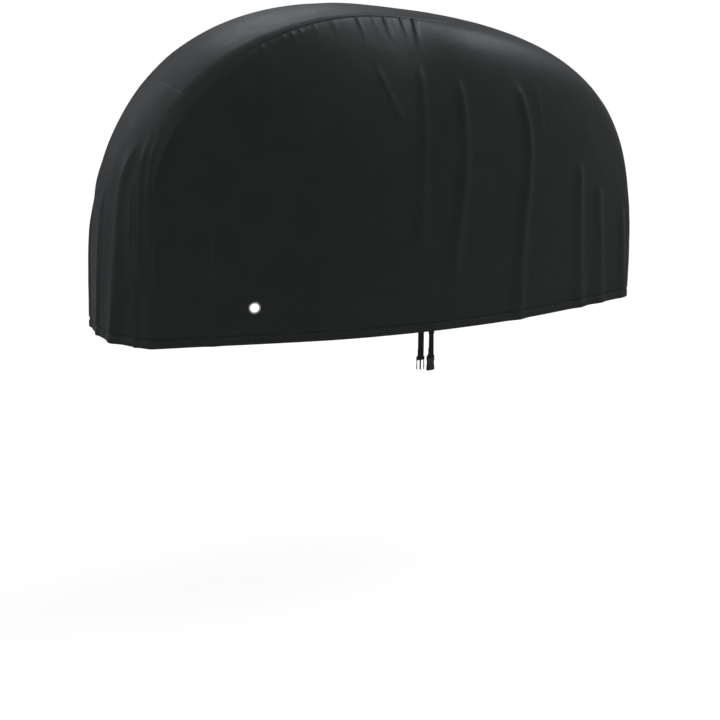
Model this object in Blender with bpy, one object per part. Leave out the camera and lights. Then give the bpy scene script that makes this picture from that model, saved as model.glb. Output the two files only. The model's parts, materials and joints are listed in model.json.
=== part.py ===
"""A fitted cover for one bicycle.

Two side panels and the gusset strip between them are coated cloth, sewn edge to edge. A metal
eyelet sits low in each side panel. Two webbing straps are sewn inside the left hem and end in the
halves of a side-release buckle.

Metres, +Z up. The front of the bicycle is towards -X and its left side towards -Y. Heights in the
tables are measured from the hem. All pieces hang on one empty, which puts the origin under the top
of the cover, where the bicycle carries it.
"""

import math
from collections import namedtuple

import bmesh
import bpy
import numpy as np
from mathutils import Matrix, Vector
from mathutils.bvhtree import BVHTree

for old in list(bpy.data.objects):
    bpy.data.objects.remove(old, do_unlink=True)

# Driving dimensions
CLOTH = 0.002  # thickness of the coated cloth
SEAM_GAP = 0.0008  # between two sewn edges
CLEARANCE = 0.0004  # between a fitted piece and what it is fitted to
MERGE = 0.000001  # points closer than this are one
LEFT, RIGHT = -1, 1  # sides of the bicycle, as signs of Y

# The seam between gusset and side panel, from the front hem over the top to the rear hem. half_width
# is half the gusset's width there, and crown is how far the gusset's middle stands out from the seam.
SeamRow = namedtuple("SeamRow", "x z half_width crown")
SEAM = (
    SeamRow(-0.915, 0.000, 0.275, 0.135),
    SeamRow(-0.905, 0.285, 0.300, 0.130),
    SeamRow(-0.890, 0.545, 0.310, 0.090),
    SeamRow(-0.835, 0.710, 0.315, 0.055),
    SeamRow(-0.715, 0.855, 0.320, 0.045),
    SeamRow(-0.525, 0.970, 0.300, 0.045),
    SeamRow(-0.240, 1.040, 0.250, 0.035),
    SeamRow(0.045, 1.030, 0.205, 0.028),
    SeamRow(0.325, 0.985, 0.170, 0.023),
    SeamRow(0.575, 0.900, 0.148, 0.024),
    SeamRow(0.755, 0.780, 0.140, 0.030),
    SeamRow(0.872, 0.620, 0.145, 0.040),
    SeamRow(0.925, 0.400, 0.165, 0.050),
    SeamRow(0.930, 0.190, 0.190, 0.055),
    SeamRow(0.920, 0.000, 0.205, 0.060),
)
FRONT_SHOULDER, REAR_SHOULDER = 2, 12  # rows of SEAM where a panel's upright edges meet its top edge
CROSS_SEAM = 0.838  # along the seam from the front hem, where the gusset's two pieces meet
CROWN_POWER = 2.4  # flatness of the gusset's arch

# A side panel from front to rear. share is the part of its length, hem_half_width how far its hem
# stands from the middle, roll how late the panel turns in towards the seam, and arch how roundly.
PanelRow = namedtuple("PanelRow", "share hem_half_width roll arch")
PANEL = (
    PanelRow(0.00, 0.282, 6.0, 1.30),
    PanelRow(0.15, 0.327, 5.6, 1.12),
    PanelRow(0.30, 0.376, 5.2, 1.06),
    PanelRow(0.43, 0.395, 4.8, 1.03),
    PanelRow(0.51, 0.395, 4.6, 1.20),
    PanelRow(0.60, 0.385, 4.3, 2.00),
    PanelRow(0.75, 0.339, 4.0, 2.20),
    PanelRow(0.90, 0.261, 3.8, 2.20),
    PanelRow(1.00, 0.205, 3.6, 2.20),
)
EDGE_REACH = 0.10  # share of the length over which a panel's upright edge follows the seam
EDGE_SHARE_UP = 0.10  # folds die away over this share of a panel's height, below its top seam
EDGE_SHARE_ALONG = 0.03  # and over this share of its length, next to its upright seams

# Folds that hang in the panels, as ridges. crest runs from the top down as (x, z), and the widths are
# those at its two ends. The side towards the front is the wider one.
FoldRow = namedtuple("FoldRow", "crest height top_width low_width")
LEFT_FOLDS = (
    FoldRow(((-0.722, 0.400), (-0.720, 0.200), (-0.715, 0.000)), 0.0040, 0.026, 0.034),
    FoldRow(((-0.155, 0.905), (-0.113, 0.804), (-0.060, 0.690)), 0.0034, 0.013, 0.020),
    FoldRow(((0.008, 0.890), (0.008, 0.720), (-0.003, 0.540), (-0.006, 0.280)), 0.0050, 0.024, 0.044),
    FoldRow(
        ((0.140, 0.845), (0.154, 0.690), (0.150, 0.540), (0.128, 0.343), (0.110, 0.160)),
        0.0078,
        0.026,
        0.054,
    ),
    FoldRow(
        ((0.366, 0.820), (0.403, 0.690), (0.412, 0.560), (0.398, 0.390), (0.386, 0.200), (0.386, 0.000)),
        0.0095,
        0.026,
        0.054,
    ),
    FoldRow(((0.452, 0.820), (0.462, 0.740), (0.475, 0.640)), 0.0024, 0.016, 0.022),
    FoldRow(((0.646, 0.540), (0.655, 0.290), (0.676, 0.000)), 0.0085, 0.034, 0.054),
    FoldRow(((0.748, 0.450), (0.764, 0.220), (0.780, 0.000)), 0.0072, 0.032, 0.050),
    FoldRow(((0.878, 0.370), (0.890, 0.190), (0.902, 0.000)), 0.0050, 0.026, 0.034),
)
RIGHT_FOLDS = (
    FoldRow(((-0.600, 0.620), (-0.626, 0.300), (-0.640, 0.000)), 0.0065, 0.026, 0.050),
    FoldRow(((-0.330, 0.880), (-0.290, 0.560), (-0.285, 0.120)), 0.0055, 0.024, 0.048),
    FoldRow(((0.060, 0.900), (0.088, 0.580), (0.080, 0.100)), 0.0075, 0.024, 0.050),
    FoldRow(((0.300, 0.850), (0.342, 0.520), (0.330, 0.000)), 0.0088, 0.026, 0.052),
    FoldRow(((0.590, 0.620), (0.606, 0.330), (0.610, 0.000)), 0.0070, 0.026, 0.046),
    FoldRow(((0.800, 0.420), (0.808, 0.200), (0.812, 0.000)), 0.0060, 0.024, 0.038),
)
FOLD_RISE = 0.05  # height over which a fold reaches its full size
SLOW_SIDE, FAST_SIDE = 1.1, 0.8  # a fold's two sides, as shares of its width
CREST_ROUND = 0.10  # share of each side over which a fold's crest is round
FOOT = 0.6  # share of a fold's height over which it runs out at its foot

# Folds that hang in the gusset, as ridges. crest runs from the top down as (across, z), where across
# goes from -1 at the left seam to 1. The side towards the left seam is the steep one.
CrossFoldRow = namedtuple("CrossFoldRow", "crest height width")
FRONT_FOLDS = (
    CrossFoldRow(((-0.89, 0.740), (-0.94, 0.600), (-0.98, 0.340)), 0.0070, 0.060),
    CrossFoldRow(((-0.77, 0.690), (-0.86, 0.580), (-0.91, 0.420), (-0.93, 0.180)), 0.0165, 0.085),
    CrossFoldRow(((-0.76, 0.610), (-0.80, 0.440), (-0.81, 0.140)), 0.0135, 0.075),
    CrossFoldRow(((-0.84, 0.400), (-0.86, 0.180), (-0.88, 0.000)), 0.0105, 0.060),
    CrossFoldRow(((-0.60, 0.670), (-0.68, 0.450), (-0.68, 0.300), (-0.62, 0.000)), 0.0220, 0.210),
    CrossFoldRow(((-0.17, 0.540), (-0.26, 0.300), (-0.20, 0.000)), 0.0080, 0.130),
    CrossFoldRow(((0.26, 0.480), (0.24, 0.240), (0.24, 0.000)), 0.0080, 0.150),
    CrossFoldRow(((0.60, 0.600), (0.65, 0.330), (0.62, 0.000)), 0.0120, 0.170),
    CrossFoldRow(((0.84, 0.560), (0.87, 0.300), (0.88, 0.080)), 0.0070, 0.080),
)
REAR_FOLDS = (
    CrossFoldRow(((-0.44, 0.500), (-0.47, 0.250), (-0.47, 0.000)), 0.0090, 0.200),
    CrossFoldRow(((0.06, 0.380), (0.03, 0.200), (0.02, 0.000)), 0.0090, 0.180),
    CrossFoldRow(((0.50, 0.450), (0.54, 0.220), (0.56, 0.000)), 0.0085, 0.180),
)
STEEP_SIDE = 0.5  # a gusset fold's steep side, as a share of its width
GUSSET_FOLD_RISE = 0.14  # height over which a fold reaches its full size
GUSSET_EDGE_SHARE = 0.08  # folds die away over this share of the half width, next to the seams

# How finely the cloth is divided
ROWS = 12  # up an upright edge
COLUMNS = 44  # along the top edge
ACROSS = 10  # across the gusset

# Eyelets: a barrel through the cloth with a flange on each face
EYELET_X, EYELET_Z = -0.579, 0.124
EYELET_HOLE = 0.0155  # radius of the hole
EYELET_RIM = 0.0205  # radius of the flanges
EYELET_WALL = 0.0012
EYELET_SIDES = 24
FLAT_INNER, FLAT_OUTER = 0.11, 0.19  # the cloth is flat within the first radius and free past the second

# Straps. The sewn end lies inside the left hem, and the lower end turns round the bar of a buckle half.
STRAP_WIDTH = 0.022
STRAP_THICKNESS = 0.0015
STRAP_SEWN = 0.040  # height of the sewn end above the hem
STRAP_TAIL = 0.030  # length of the end that is folded back
STRAP_STEPS = 12  # down the straight run
LOOP_STEPS = 8
TURN_DROP = 0.015  # below the hem, where a strap's own turn is reached
TAIL_MEETS = 0.012  # above the bar, where the folded end meets the strap again
BAR = 0.0013  # half the side of a buckle's bar
LOOP_RADIUS = 0.0023  # inside of the strap's turn round the bar
StrapRow = namedtuple("StrapRow", "half x bar_z turn_top turn_low")
STRAPS = (
    StrapRow("plug", -0.008, -0.090, 0.0, 0.0),
    StrapRow("socket", 0.031, -0.090, 20.0, 12.0),
)

# Buckle halves, as half outlines: distance from the middle line, then height from the bar's axis
CUT_PAST = 0.02  # how far a cutter runs past what it cuts
CHEEK = 0.0114  # half the width between a half's cheeks, where the strap lies
SLOT_LOW = -0.0045
PLUG_THICKNESS = 0.0058
PRONG_THICKNESS = 0.0034
PRONG_TOP = -0.0092
PLUG_OUTLINE = (
    (0.0000, 0.0013),
    (CHEEK, 0.0013),
    (CHEEK, 0.0034),
    (0.0142, 0.0034),
    (0.0142, -0.0090),
    (0.0138, -0.0110),
    (0.0138, -0.0280),
    (0.0146, -0.0310),
    (0.0136, -0.0425),
    (0.0116, -0.0425),
    (0.0118, -0.0110),
    (0.0112, -0.0090),
    (0.0030, -0.0090),
    (0.0023, -0.0105),
    (0.0023, -0.0425),
    (0.0013, -0.0435),
    (0.0000, -0.0435),
)
SOCKET_THICKNESS = 0.0095
SOCKET_WALL = 0.0015
SOCKET_OUTLINE = (
    (0.0000, 0.0013),
    (CHEEK, 0.0013),
    (CHEEK, 0.0044),
    (0.0127, 0.0044),
    (0.0139, -0.0080),
    (0.0139, -0.0120),
    (0.0121, -0.0200),
    (0.0120, -0.0250),
    (0.0140, -0.0360),
    (0.0144, -0.0420),
    (0.0142, -0.0495),
    (0.0000, -0.0495),
)
MOUTH_HALF = 0.0120  # half the width of the socket's mouth
MOUTH_TOP = -0.0130
WINDOW_LOW, WINDOW_TOP = -0.0300, -0.0160  # where the prongs' tips show at the sides


def spline(knots, values, at):
    """Values of the natural cubic spline through the knots."""
    knots = np.asarray(knots, float)
    values = np.asarray(values, float)
    steps = np.diff(knots)
    size = len(knots)
    left = np.eye(size)
    right = np.zeros((size, size))
    for i in range(1, size - 1):
        before, after = steps[i - 1], steps[i]
        left[i, i - 1 : i + 2] = before, 2 * (before + after), after
        right[i, i - 1 : i + 2] = 6 / before, -6 / before - 6 / after, 6 / after
    bend = np.linalg.solve(left, right @ values)
    cell = np.clip(np.searchsorted(knots, at, side="right") - 1, 0, size - 2)
    step = steps[cell]
    upper = (at - knots[cell]) / step
    lower = 1 - upper
    curved = (lower**3 - lower) * bend[cell] + (upper**3 - upper) * bend[cell + 1]
    return lower * values[cell] + upper * values[cell + 1] + curved * step**2 / 6


def smooth_step(value):
    value = np.clip(value, 0, 1)
    return value * value * (3 - 2 * value)


def unit(vectors):
    return vectors / np.linalg.norm(vectors, axis=-1, keepdims=True)


# The seam, as points that the panels and the gusset share
seam_knots = np.concatenate([[0], np.cumsum([math.dist(a[:2], b[:2]) for a, b in zip(SEAM, SEAM[1:])])])
front_reach, rear_reach = seam_knots[FRONT_SHOULDER], seam_knots[REAR_SHOULDER]
seam_along = np.concatenate(
    [
        np.linspace(0, front_reach, ROWS, endpoint=False),
        np.linspace(front_reach, rear_reach, COLUMNS, endpoint=False),
        np.linspace(rear_reach, seam_knots[-1], ROWS + 1),
    ]
)
cross_index = int(np.argmin(np.abs(seam_along - CROSS_SEAM)))
seam_along[cross_index] = CROSS_SEAM
seam_x, seam_z, seam_half, seam_crown = (
    spline(seam_knots, [row[i] for row in SEAM], seam_along) for i in range(4)
)


def ridge(off, fast_side=FAST_SIDE):
    """A fold's section, 1 at its crest. Its sides are flat, one wider, and run out softly at the foot."""
    off = np.abs(off / np.where(off < 0, SLOW_SIDE, fast_side))
    left = 1 + CREST_ROUND - np.sqrt(off**2 + CREST_ROUND**2)
    full = 1 - FOOT / 2
    return np.where(left > FOOT, left - FOOT / 2, np.clip(left, 0, None) ** 2 / (2 * FOOT)) / full


def fold_height(x, z, folds):
    """How far the folds stand out at these places."""
    height = np.zeros_like(x)
    for fold in folds:
        crest_x, crest_z = zip(*fold.crest[::-1])
        low, top = crest_z[0], crest_z[-1]
        centre = spline(crest_z, crest_x, np.clip(z, low, top))
        width = np.interp(z, (low, top), (fold.low_width, fold.top_width))
        rise = smooth_step((top - z) / FOLD_RISE)
        fall = smooth_step((z - low) / FOLD_RISE) if low > 0 else 1
        height += fold.height * rise * fall * ridge((x - centre) / width)
    return height


def panel_edges(values):
    """Values on the seam, split into a panel's front edge, top edge and rear edge, upwards or rearwards."""
    return values[: ROWS + 1], values[ROWS : ROWS + COLUMNS + 1], values[ROWS + COLUMNS :][::-1]


def panel_surface(side, folds):
    """The outer face of a side panel, as rows from the hem up and columns from front to rear."""
    front, top, rear = panel_edges(np.stack([seam_x, seam_z], -1))
    front_half, top_half, rear_half = panel_edges(seam_half)
    share = (top[:, 0] - top[0, 0]) / (top[-1, 0] - top[0, 0])
    hem = front[0] + (rear[0] - front[0]) * share[:, None]
    up = np.linspace(0, 1, ROWS + 1)[:, None]
    along = share[None, :, None]
    rise = up[:, :, None]
    flat = (1 - rise) * hem + rise * top + (1 - along) * front[:, None] + along * rear[:, None]
    flat -= (1 - rise) * ((1 - along) * front[0] + along * rear[0])
    flat -= rise * ((1 - along) * front[-1] + along * rear[-1])
    shares = [row.share for row in PANEL]
    hem_half = spline(shares, [row.hem_half_width for row in PANEL], share)
    roll = spline(shares, [row.roll for row in PANEL], share)
    arch = spline(shares, [row.arch for row in PANEL], share)
    turned_in = 1 - (1 - up**roll) ** (1 / arch)
    half = (1 - turned_in) * hem_half + turned_in * top_half
    at_front = np.exp(-((share / EDGE_REACH) ** 2))
    at_rear = np.exp(-(((1 - share) / EDGE_REACH) ** 2))
    half = half + at_front * (front_half - half[:, 0])[:, None]
    half = half + at_rear * (rear_half - half[:, -1])[:, None]
    off_seam = smooth_step((1 - up) / EDGE_SHARE_UP)
    off_seam = off_seam * smooth_step(share / EDGE_SHARE_ALONG) * smooth_step((1 - share) / EDGE_SHARE_ALONG)
    half = half + fold_height(flat[..., 0], flat[..., 1], folds) * off_seam
    return np.stack([flat[..., 0], side * half, flat[..., 1]], -1)


def gusset_surface():
    """The outer face of the gusset, as rows along the seam and columns from the left seam to the right."""
    slope = unit(np.gradient(np.stack([seam_x, seam_z], -1), axis=0))
    outward = np.stack([-slope[:, 1], slope[:, 0]], -1)
    across = np.linspace(-1, 1, ACROSS + 1)[None, :]
    arch = 1 - np.abs(across) ** CROWN_POWER
    off_seam = smooth_step((1 - np.abs(across)) / GUSSET_EDGE_SHARE)
    lift = seam_crown[:, None] * arch
    for folds, end in ((FRONT_FOLDS, seam_x < 0), (REAR_FOLDS, seam_x > 0)):
        for fold in folds:
            crest_across, crest_z = zip(*fold.crest[::-1])
            low, top = crest_z[0], crest_z[-1]
            centre = spline(crest_z, crest_across, np.clip(seam_z, low, top))[:, None]
            rise = smooth_step((top - seam_z) / GUSSET_FOLD_RISE) * end
            if low > 0:
                rise = rise * smooth_step((seam_z - low) / FOLD_RISE)
            wave = ridge((centre - across) / fold.width, STEEP_SIDE)
            lift = lift + fold.height * rise[:, None] * wave * off_seam
    x = seam_x[:, None] + outward[:, :1] * lift
    z = seam_z[:, None] + outward[:, 1:] * lift
    return np.stack([x, seam_half[:, None] * across, z], -1)


def normals_of(grid, side):
    """Unit normals of a grid of points. side is LEFT or RIGHT, the way the grid faces."""
    return -side * unit(np.cross(np.gradient(grid, axis=1), np.gradient(grid, axis=0)))


def flatten(grid, side):
    """Presses a side panel flat round its eyelet, and returns it with the eyelet's centre and axis."""
    distance = np.hypot(grid[..., 0] - EYELET_X, grid[..., 2] - EYELET_Z)
    nearest = np.unravel_index(np.argmin(distance), distance.shape)
    axis = normals_of(grid, side)[nearest]
    start = grid[nearest]
    y = start[1] - (axis[0] * (EYELET_X - start[0]) + axis[2] * (EYELET_Z - start[2])) / axis[1]
    centre = np.array([EYELET_X, y, EYELET_Z])
    weight = 1 - smooth_step((distance - FLAT_INNER) / (FLAT_OUTER - FLAT_INNER))
    stands_off = (grid - centre) @ axis
    return grid - (weight * stands_off)[..., None] * axis, centre, axis


def panel_place(step):
    """Row and column, on a side panel's grid, of a point of the seam."""
    row = min(step, ROWS, len(seam_along) - 1 - step)
    return row, min(max(step - ROWS, 0), COLUMNS)


def material(name, colour, roughness, metallic=0.0):
    made = bpy.data.materials.new(name)
    made.use_nodes = True
    shader = made.node_tree.nodes["Principled BSDF"]
    shader.inputs["Base Color"].default_value = (*colour, 1.0)
    shader.inputs["Roughness"].default_value = roughness
    shader.inputs["Metallic"].default_value = metallic
    return made


def add_object(name, mesh, finish):
    """Links a piece to the scene and hangs it on the carrier."""
    made = bpy.data.objects.new(name, mesh)
    bpy.context.scene.collection.objects.link(made)
    mesh.materials.append(finish)
    made.parent = carrier
    return made


def mesh_of(name, points, faces):
    """A mesh with its faces turned outwards."""
    mesh = bpy.data.meshes.new(name)
    mesh.from_pydata([tuple(point) for point in points], [], faces)
    build = bmesh.new()
    build.from_mesh(mesh)
    bmesh.ops.remove_doubles(build, verts=build.verts, dist=MERGE)
    bmesh.ops.dissolve_degenerate(build, edges=build.edges, dist=MERGE)
    bmesh.ops.recalc_face_normals(build, faces=build.faces)
    build.to_mesh(mesh)
    build.free()
    return mesh


def grid_faces(grid):
    """A grid's triangles, split along each cell's shorter diagonal, and the loop of points round it."""
    index = np.arange(grid[..., 0].size).reshape(grid.shape[:2])
    corners = (index[:-1, :-1], index[:-1, 1:], index[1:, 1:], index[1:, :-1])
    a, b, c, d = (corner.ravel() for corner in corners)
    points = grid.reshape(-1, 3)
    first = np.linalg.norm(points[a] - points[c], axis=1)
    second = np.linalg.norm(points[b] - points[d], axis=1)
    split = np.where(first <= second, (a, b, c, a, c, d), (a, b, d, b, c, d))
    rim = np.concatenate([index[0, :-1], index[:-1, -1], index[-1, :0:-1], index[:0:-1, 0]])
    return split.T.reshape(-1, 3).tolist(), rim.tolist()


def sheet(name, outer, normals, finish):
    """A closed sheet of cloth under a grid of points. Both its faces are divided alike."""
    count = outer[..., 0].size
    faces, rim = grid_faces(outer)
    faces += [[point + count for point in face[::-1]] for face in faces]
    faces += [[a, a + count, b + count, b] for a, b in zip(rim, rim[1:] + rim[:1])]
    points = np.concatenate([outer.reshape(-1, 3), (outer - CLOTH * normals).reshape(-1, 3)])
    mesh = mesh_of(name, points, faces)
    mesh.shade_smooth()
    mesh.set_sharp_from_angle(angle=math.radians(40))
    return add_object(name, mesh, finish)


def turned(name, profile, centre, axis, finish):
    """A solid turned round an axis. The profile's points are (distance along the axis, radius)."""
    count = len(profile)
    points = []
    faces = []
    for step in range(EYELET_SIDES):
        angle = 2 * math.pi * step / EYELET_SIDES
        points += [(radius * math.cos(angle), radius * math.sin(angle), along) for along, radius in profile]
        here = step * count
        there = (step + 1) % EYELET_SIDES * count
        for i in range(count):
            j = (i + 1) % count
            faces.append((here + i, here + j, there + j, there + i))
    made = add_object(name, mesh_of(name, points, faces), finish)
    made.rotation_mode = "QUATERNION"
    made.rotation_quaternion = Vector((0, 0, 1)).rotation_difference(Vector(axis))
    made.location = centre
    return made


def prism(name, outline, thickness, finish):
    """An outline in X and Z, given a thickness along Y about its middle."""
    count = len(outline)
    points = [(x, y, z) for y in (-thickness / 2, thickness / 2) for x, z in outline]
    faces = [list(range(count)), list(range(2 * count - 1, count - 1, -1))]
    faces += [[i, (i + 1) % count, (i + 1) % count + count, i + count] for i in range(count)]
    return add_object(name, mesh_of(name, points, faces), finish)


def mirrored(half_outline):
    """A whole outline from the half that runs from the middle line round to the middle line."""
    return list(half_outline) + [(-x, z) for x, z in half_outline[-2:0:-1]]


def cut(target, name, low, high):
    """Takes a box out of a piece, in the piece's own axes."""
    outline = [(low[0], low[2]), (high[0], low[2]), (high[0], high[2]), (low[0], high[2])]
    cutter = prism(name, outline, high[1] - low[1], target.data.materials[0])
    cutter.data.transform(Matrix.Translation((0, (low[1] + high[1]) / 2, 0)))
    cutter.location = target.location
    cutter.rotation_euler = target.rotation_euler
    subtract(target, cutter)


def subtract(target, cutter):
    cutter.hide_render = True
    cutter.display_type = "WIRE"
    change = target.modifiers.new(cutter.name, "BOOLEAN")
    change.operation = "DIFFERENCE"
    change.solver = "EXACT"
    change.object = cutter


# Finishes
cloth_black = material("coated_cloth", (0.018, 0.019, 0.019), 0.55)
eyelet_metal = material("eyelet_metal", (0.78, 0.78, 0.77), 0.25, 1.0)
webbing_black = material("webbing", (0.012, 0.012, 0.012), 0.8)
buckle_plastic = material("buckle_plastic", (0.03, 0.03, 0.03), 0.45)

# The outer faces of the cloth. Both edges of a seam share one normal, so they are cut to the same
# mitre, and each edge stands half the seam gap back from the seam.
panels = {}
gusset = gusset_surface()
gusset_normals = normals_of(gusset, RIGHT)
for side, folds, column in ((LEFT, LEFT_FOLDS, 0), (RIGHT, RIGHT_FOLDS, -1)):
    grid, centre, axis = flatten(panel_surface(side, folds), side)
    normals = normals_of(grid, side)
    seam_slope = np.gradient(gusset[:, column], axis=0)
    for step in range(len(seam_along)):
        place = panel_place(step)
        shared = unit(normals[place] + gusset_normals[step, column])
        normals[place] = gusset_normals[step, column] = shared
        inwards = -side * unit(np.cross(shared, seam_slope[step])) * SEAM_GAP / 2
        grid[place] -= inwards
        gusset[step, column] += inwards
    panels[side] = (grid, normals, centre, axis)

# The empty that carries every piece. The origin lies on the underside of the top, at mid length.
top_inner = (gusset - CLOTH * gusset_normals)[ROWS : ROWS + COLUMNS + 1, ACROSS // 2]
origin_height = float(np.interp(0.0, top_inner[:, 0], top_inner[:, 2]))
carrier = bpy.data.objects.new("carrier", None)
bpy.context.scene.collection.objects.link(carrier)
carrier.location = (0, 0, -origin_height)

# Side panels, each with the hole for its eyelet, and the eyelets
BARREL = EYELET_HOLE + EYELET_WALL
OUTER_FLANGE = (CLEARANCE, CLEARANCE + EYELET_WALL)
INNER_FLANGE = (-CLOTH - CLEARANCE - EYELET_WALL, -CLOTH - CLEARANCE)
EYELET_PROFILE = (
    (INNER_FLANGE[0], EYELET_HOLE),
    (OUTER_FLANGE[1], EYELET_HOLE),
    (OUTER_FLANGE[1], EYELET_RIM),
    (OUTER_FLANGE[0], EYELET_RIM),
    (OUTER_FLANGE[0], BARREL),
    (INNER_FLANGE[1], BARREL),
    (INNER_FLANGE[1], EYELET_RIM),
    (INNER_FLANGE[0], EYELET_RIM),
)
HOLE_PROFILE = (
    (2 * INNER_FLANGE[0], 0.0),
    (2 * OUTER_FLANGE[1], 0.0),
    (2 * OUTER_FLANGE[1], BARREL + CLEARANCE),
    (2 * INNER_FLANGE[0], BARREL + CLEARANCE),
)
for side, word in ((LEFT, "left"), (RIGHT, "right")):
    grid, normals, centre, axis = panels[side]
    panel = sheet("side_panel_" + word, grid, normals, cloth_black)
    subtract(panel, turned("eyelet_hole_" + word, HOLE_PROFILE, centre, axis, eyelet_metal))
    turned("eyelet_" + word, EYELET_PROFILE, centre, axis, eyelet_metal)

# The gusset, in two pieces that meet at the cross seam
for name, rows, edge, near in (
    ("gusset_front", np.s_[: cross_index + 1], -1, -2),
    ("gusset_top", np.s_[cross_index:], 0, 1),
):
    outer = gusset[rows].copy()
    outer[edge] += unit(outer[near] - outer[edge]) * SEAM_GAP / 2
    sheet(name, outer, gusset_normals[rows], cloth_black)

# The straps hang against the inner face of the left panel
grid, normals, centre, axis = panels[LEFT]
inner_face = (grid - CLOTH * normals).reshape(-1, 3)
inside_wall = BVHTree.FromPolygons([tuple(p) for p in inner_face], grid_faces(grid)[0])


def wall_y(x):
    """Y of the innermost place of the left wall behind a strap that is sewn at x."""
    found = []
    for at_x in np.linspace(x - STRAP_WIDTH / 2, x + STRAP_WIDTH / 2, 3):
        for z in np.linspace(STRAP_SEWN, CLEARANCE, 3):
            found.append(inside_wall.ray_cast(Vector((at_x, 0, z)), Vector((0, -1, 0)))[0].y)
    return max(found)


def strap_path(bar_z):
    """The middle line of a strap as (distance inwards, height): down, round the bar and back up."""
    turn = LOOP_RADIUS + STRAP_THICKNESS / 2
    path = [(0.0, z) for z in np.linspace(STRAP_SEWN, bar_z, STRAP_STEPS + 1)[:-1]]
    for step in range(LOOP_STEPS + 1):
        angle = math.pi * step / LOOP_STEPS
        path.append((turn - turn * math.cos(angle), bar_z - turn * math.sin(angle)))
    beside = STRAP_THICKNESS + CLEARANCE
    path.append(((beside + 2 * turn) / 2, bar_z + TAIL_MEETS / 2))
    path.append((beside, bar_z + TAIL_MEETS))
    path.append((beside, bar_z + STRAP_TAIL))
    return np.array(path)


def strap(row, wall):
    """A flat webbing strap, turned about its own upright axis below the hem."""
    path = strap_path(row.bar_z)
    across = unit(np.gradient(path, axis=0))[:, ::-1] * (1, -1)
    points = []
    for (inwards, z), normal in zip(path, across):
        below = smooth_step(-z / TURN_DROP)
        towards_bar = smooth_step(z / row.bar_z)
        turn = math.radians(below * (row.turn_top + (row.turn_low - row.turn_top) * towards_bar))
        for sideways, way in ((-1, -1), (1, -1), (1, 1), (-1, 1)):
            u = sideways * STRAP_WIDTH / 2
            v = inwards + way * normal[0] * STRAP_THICKNESS / 2
            x = u * math.cos(turn) - v * math.sin(turn)
            y = u * math.sin(turn) + v * math.cos(turn)
            points.append((row.x + x, wall + y, z + way * normal[1] * STRAP_THICKNESS / 2))
    last = len(points) - 4
    faces = [(0, 1, 2, 3), (last, last + 1, last + 2, last + 3)]
    for start in range(0, last, 4):
        for i in range(4):
            j = (i + 1) % 4
            faces.append((start + i, start + j, start + j + 4, start + i + 4))
    name = "strap_" + row.half
    add_object(name, mesh_of(name, points, faces), webbing_black)


def place_buckle(made, row, wall):
    """Puts a buckle half's bar in the turn of its strap."""
    turn = math.radians(row.turn_low)
    inwards = LOOP_RADIUS + STRAP_THICKNESS / 2
    made.rotation_euler = (0, 0, turn)
    made.location = (row.x - inwards * math.sin(turn), wall + inwards * math.cos(turn), row.bar_z)


def cut_strap_slot(made, half_thickness):
    """Opens the slot below the bar, and thins the bar between the cheeks."""
    deep = half_thickness + CUT_PAST
    cut(made, made.name + "_slot", (-CHEEK, -deep, SLOT_LOW), (CHEEK, deep, -BAR))
    cut(made, made.name + "_bar_front", (-CHEEK, -deep, -2 * BAR), (CHEEK, -BAR, 2 * BAR))
    cut(made, made.name + "_bar_back", (-CHEEK, BAR, -2 * BAR), (CHEEK, deep, 2 * BAR))


def plug(row, wall):
    """The plug: a head that holds the bar, a middle prong and two springy side prongs with thicker tips."""
    made = prism("buckle_plug", mirrored(PLUG_OUTLINE), PLUG_THICKNESS, buckle_plastic)
    place_buckle(made, row, wall)
    cut_strap_slot(made, PLUG_THICKNESS / 2)
    inner, outer = PRONG_THICKNESS / 2, PLUG_THICKNESS / 2 + CUT_PAST
    low = PLUG_OUTLINE[-1][1] - CUT_PAST
    cut(made, "prong_relief_front", (-CUT_PAST, -outer, low), (CUT_PAST, -inner, PRONG_TOP))
    cut(made, "prong_relief_back", (-CUT_PAST, inner, low), (CUT_PAST, outer, PRONG_TOP))


def socket(row, wall):
    """The socket: a waisted sleeve, open below for the prongs and at both sides for their tips."""
    made = prism("buckle_socket", mirrored(SOCKET_OUTLINE), SOCKET_THICKNESS, buckle_plastic)
    place_buckle(made, row, wall)
    cut_strap_slot(made, SOCKET_THICKNESS / 2)
    depth = SOCKET_THICKNESS / 2 - SOCKET_WALL
    low = SOCKET_OUTLINE[-1][1] - CUT_PAST
    cut(made, "socket_mouth", (-MOUTH_HALF, -depth, low), (MOUTH_HALF, depth, MOUTH_TOP))
    cut(made, "socket_windows", (-CUT_PAST, -depth, WINDOW_LOW), (CUT_PAST, depth, WINDOW_TOP))


for row in STRAPS:
    wall = wall_y(row.x) + CLEARANCE + STRAP_THICKNESS / 2
    strap(row, wall)
    if row.half == "plug":
        plug(row, wall)
    else:
        socket(row, wall)
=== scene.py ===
"""The looks of a fitted cover for one bicycle, in metres and +Z up.

The front of the bicycle is towards -X and its left side towards -Y. Places on the cloth are worked
out with heights from the hem, and go to the frame's height when a mesh is made.
"""

import json
import math
from collections import namedtuple

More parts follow.
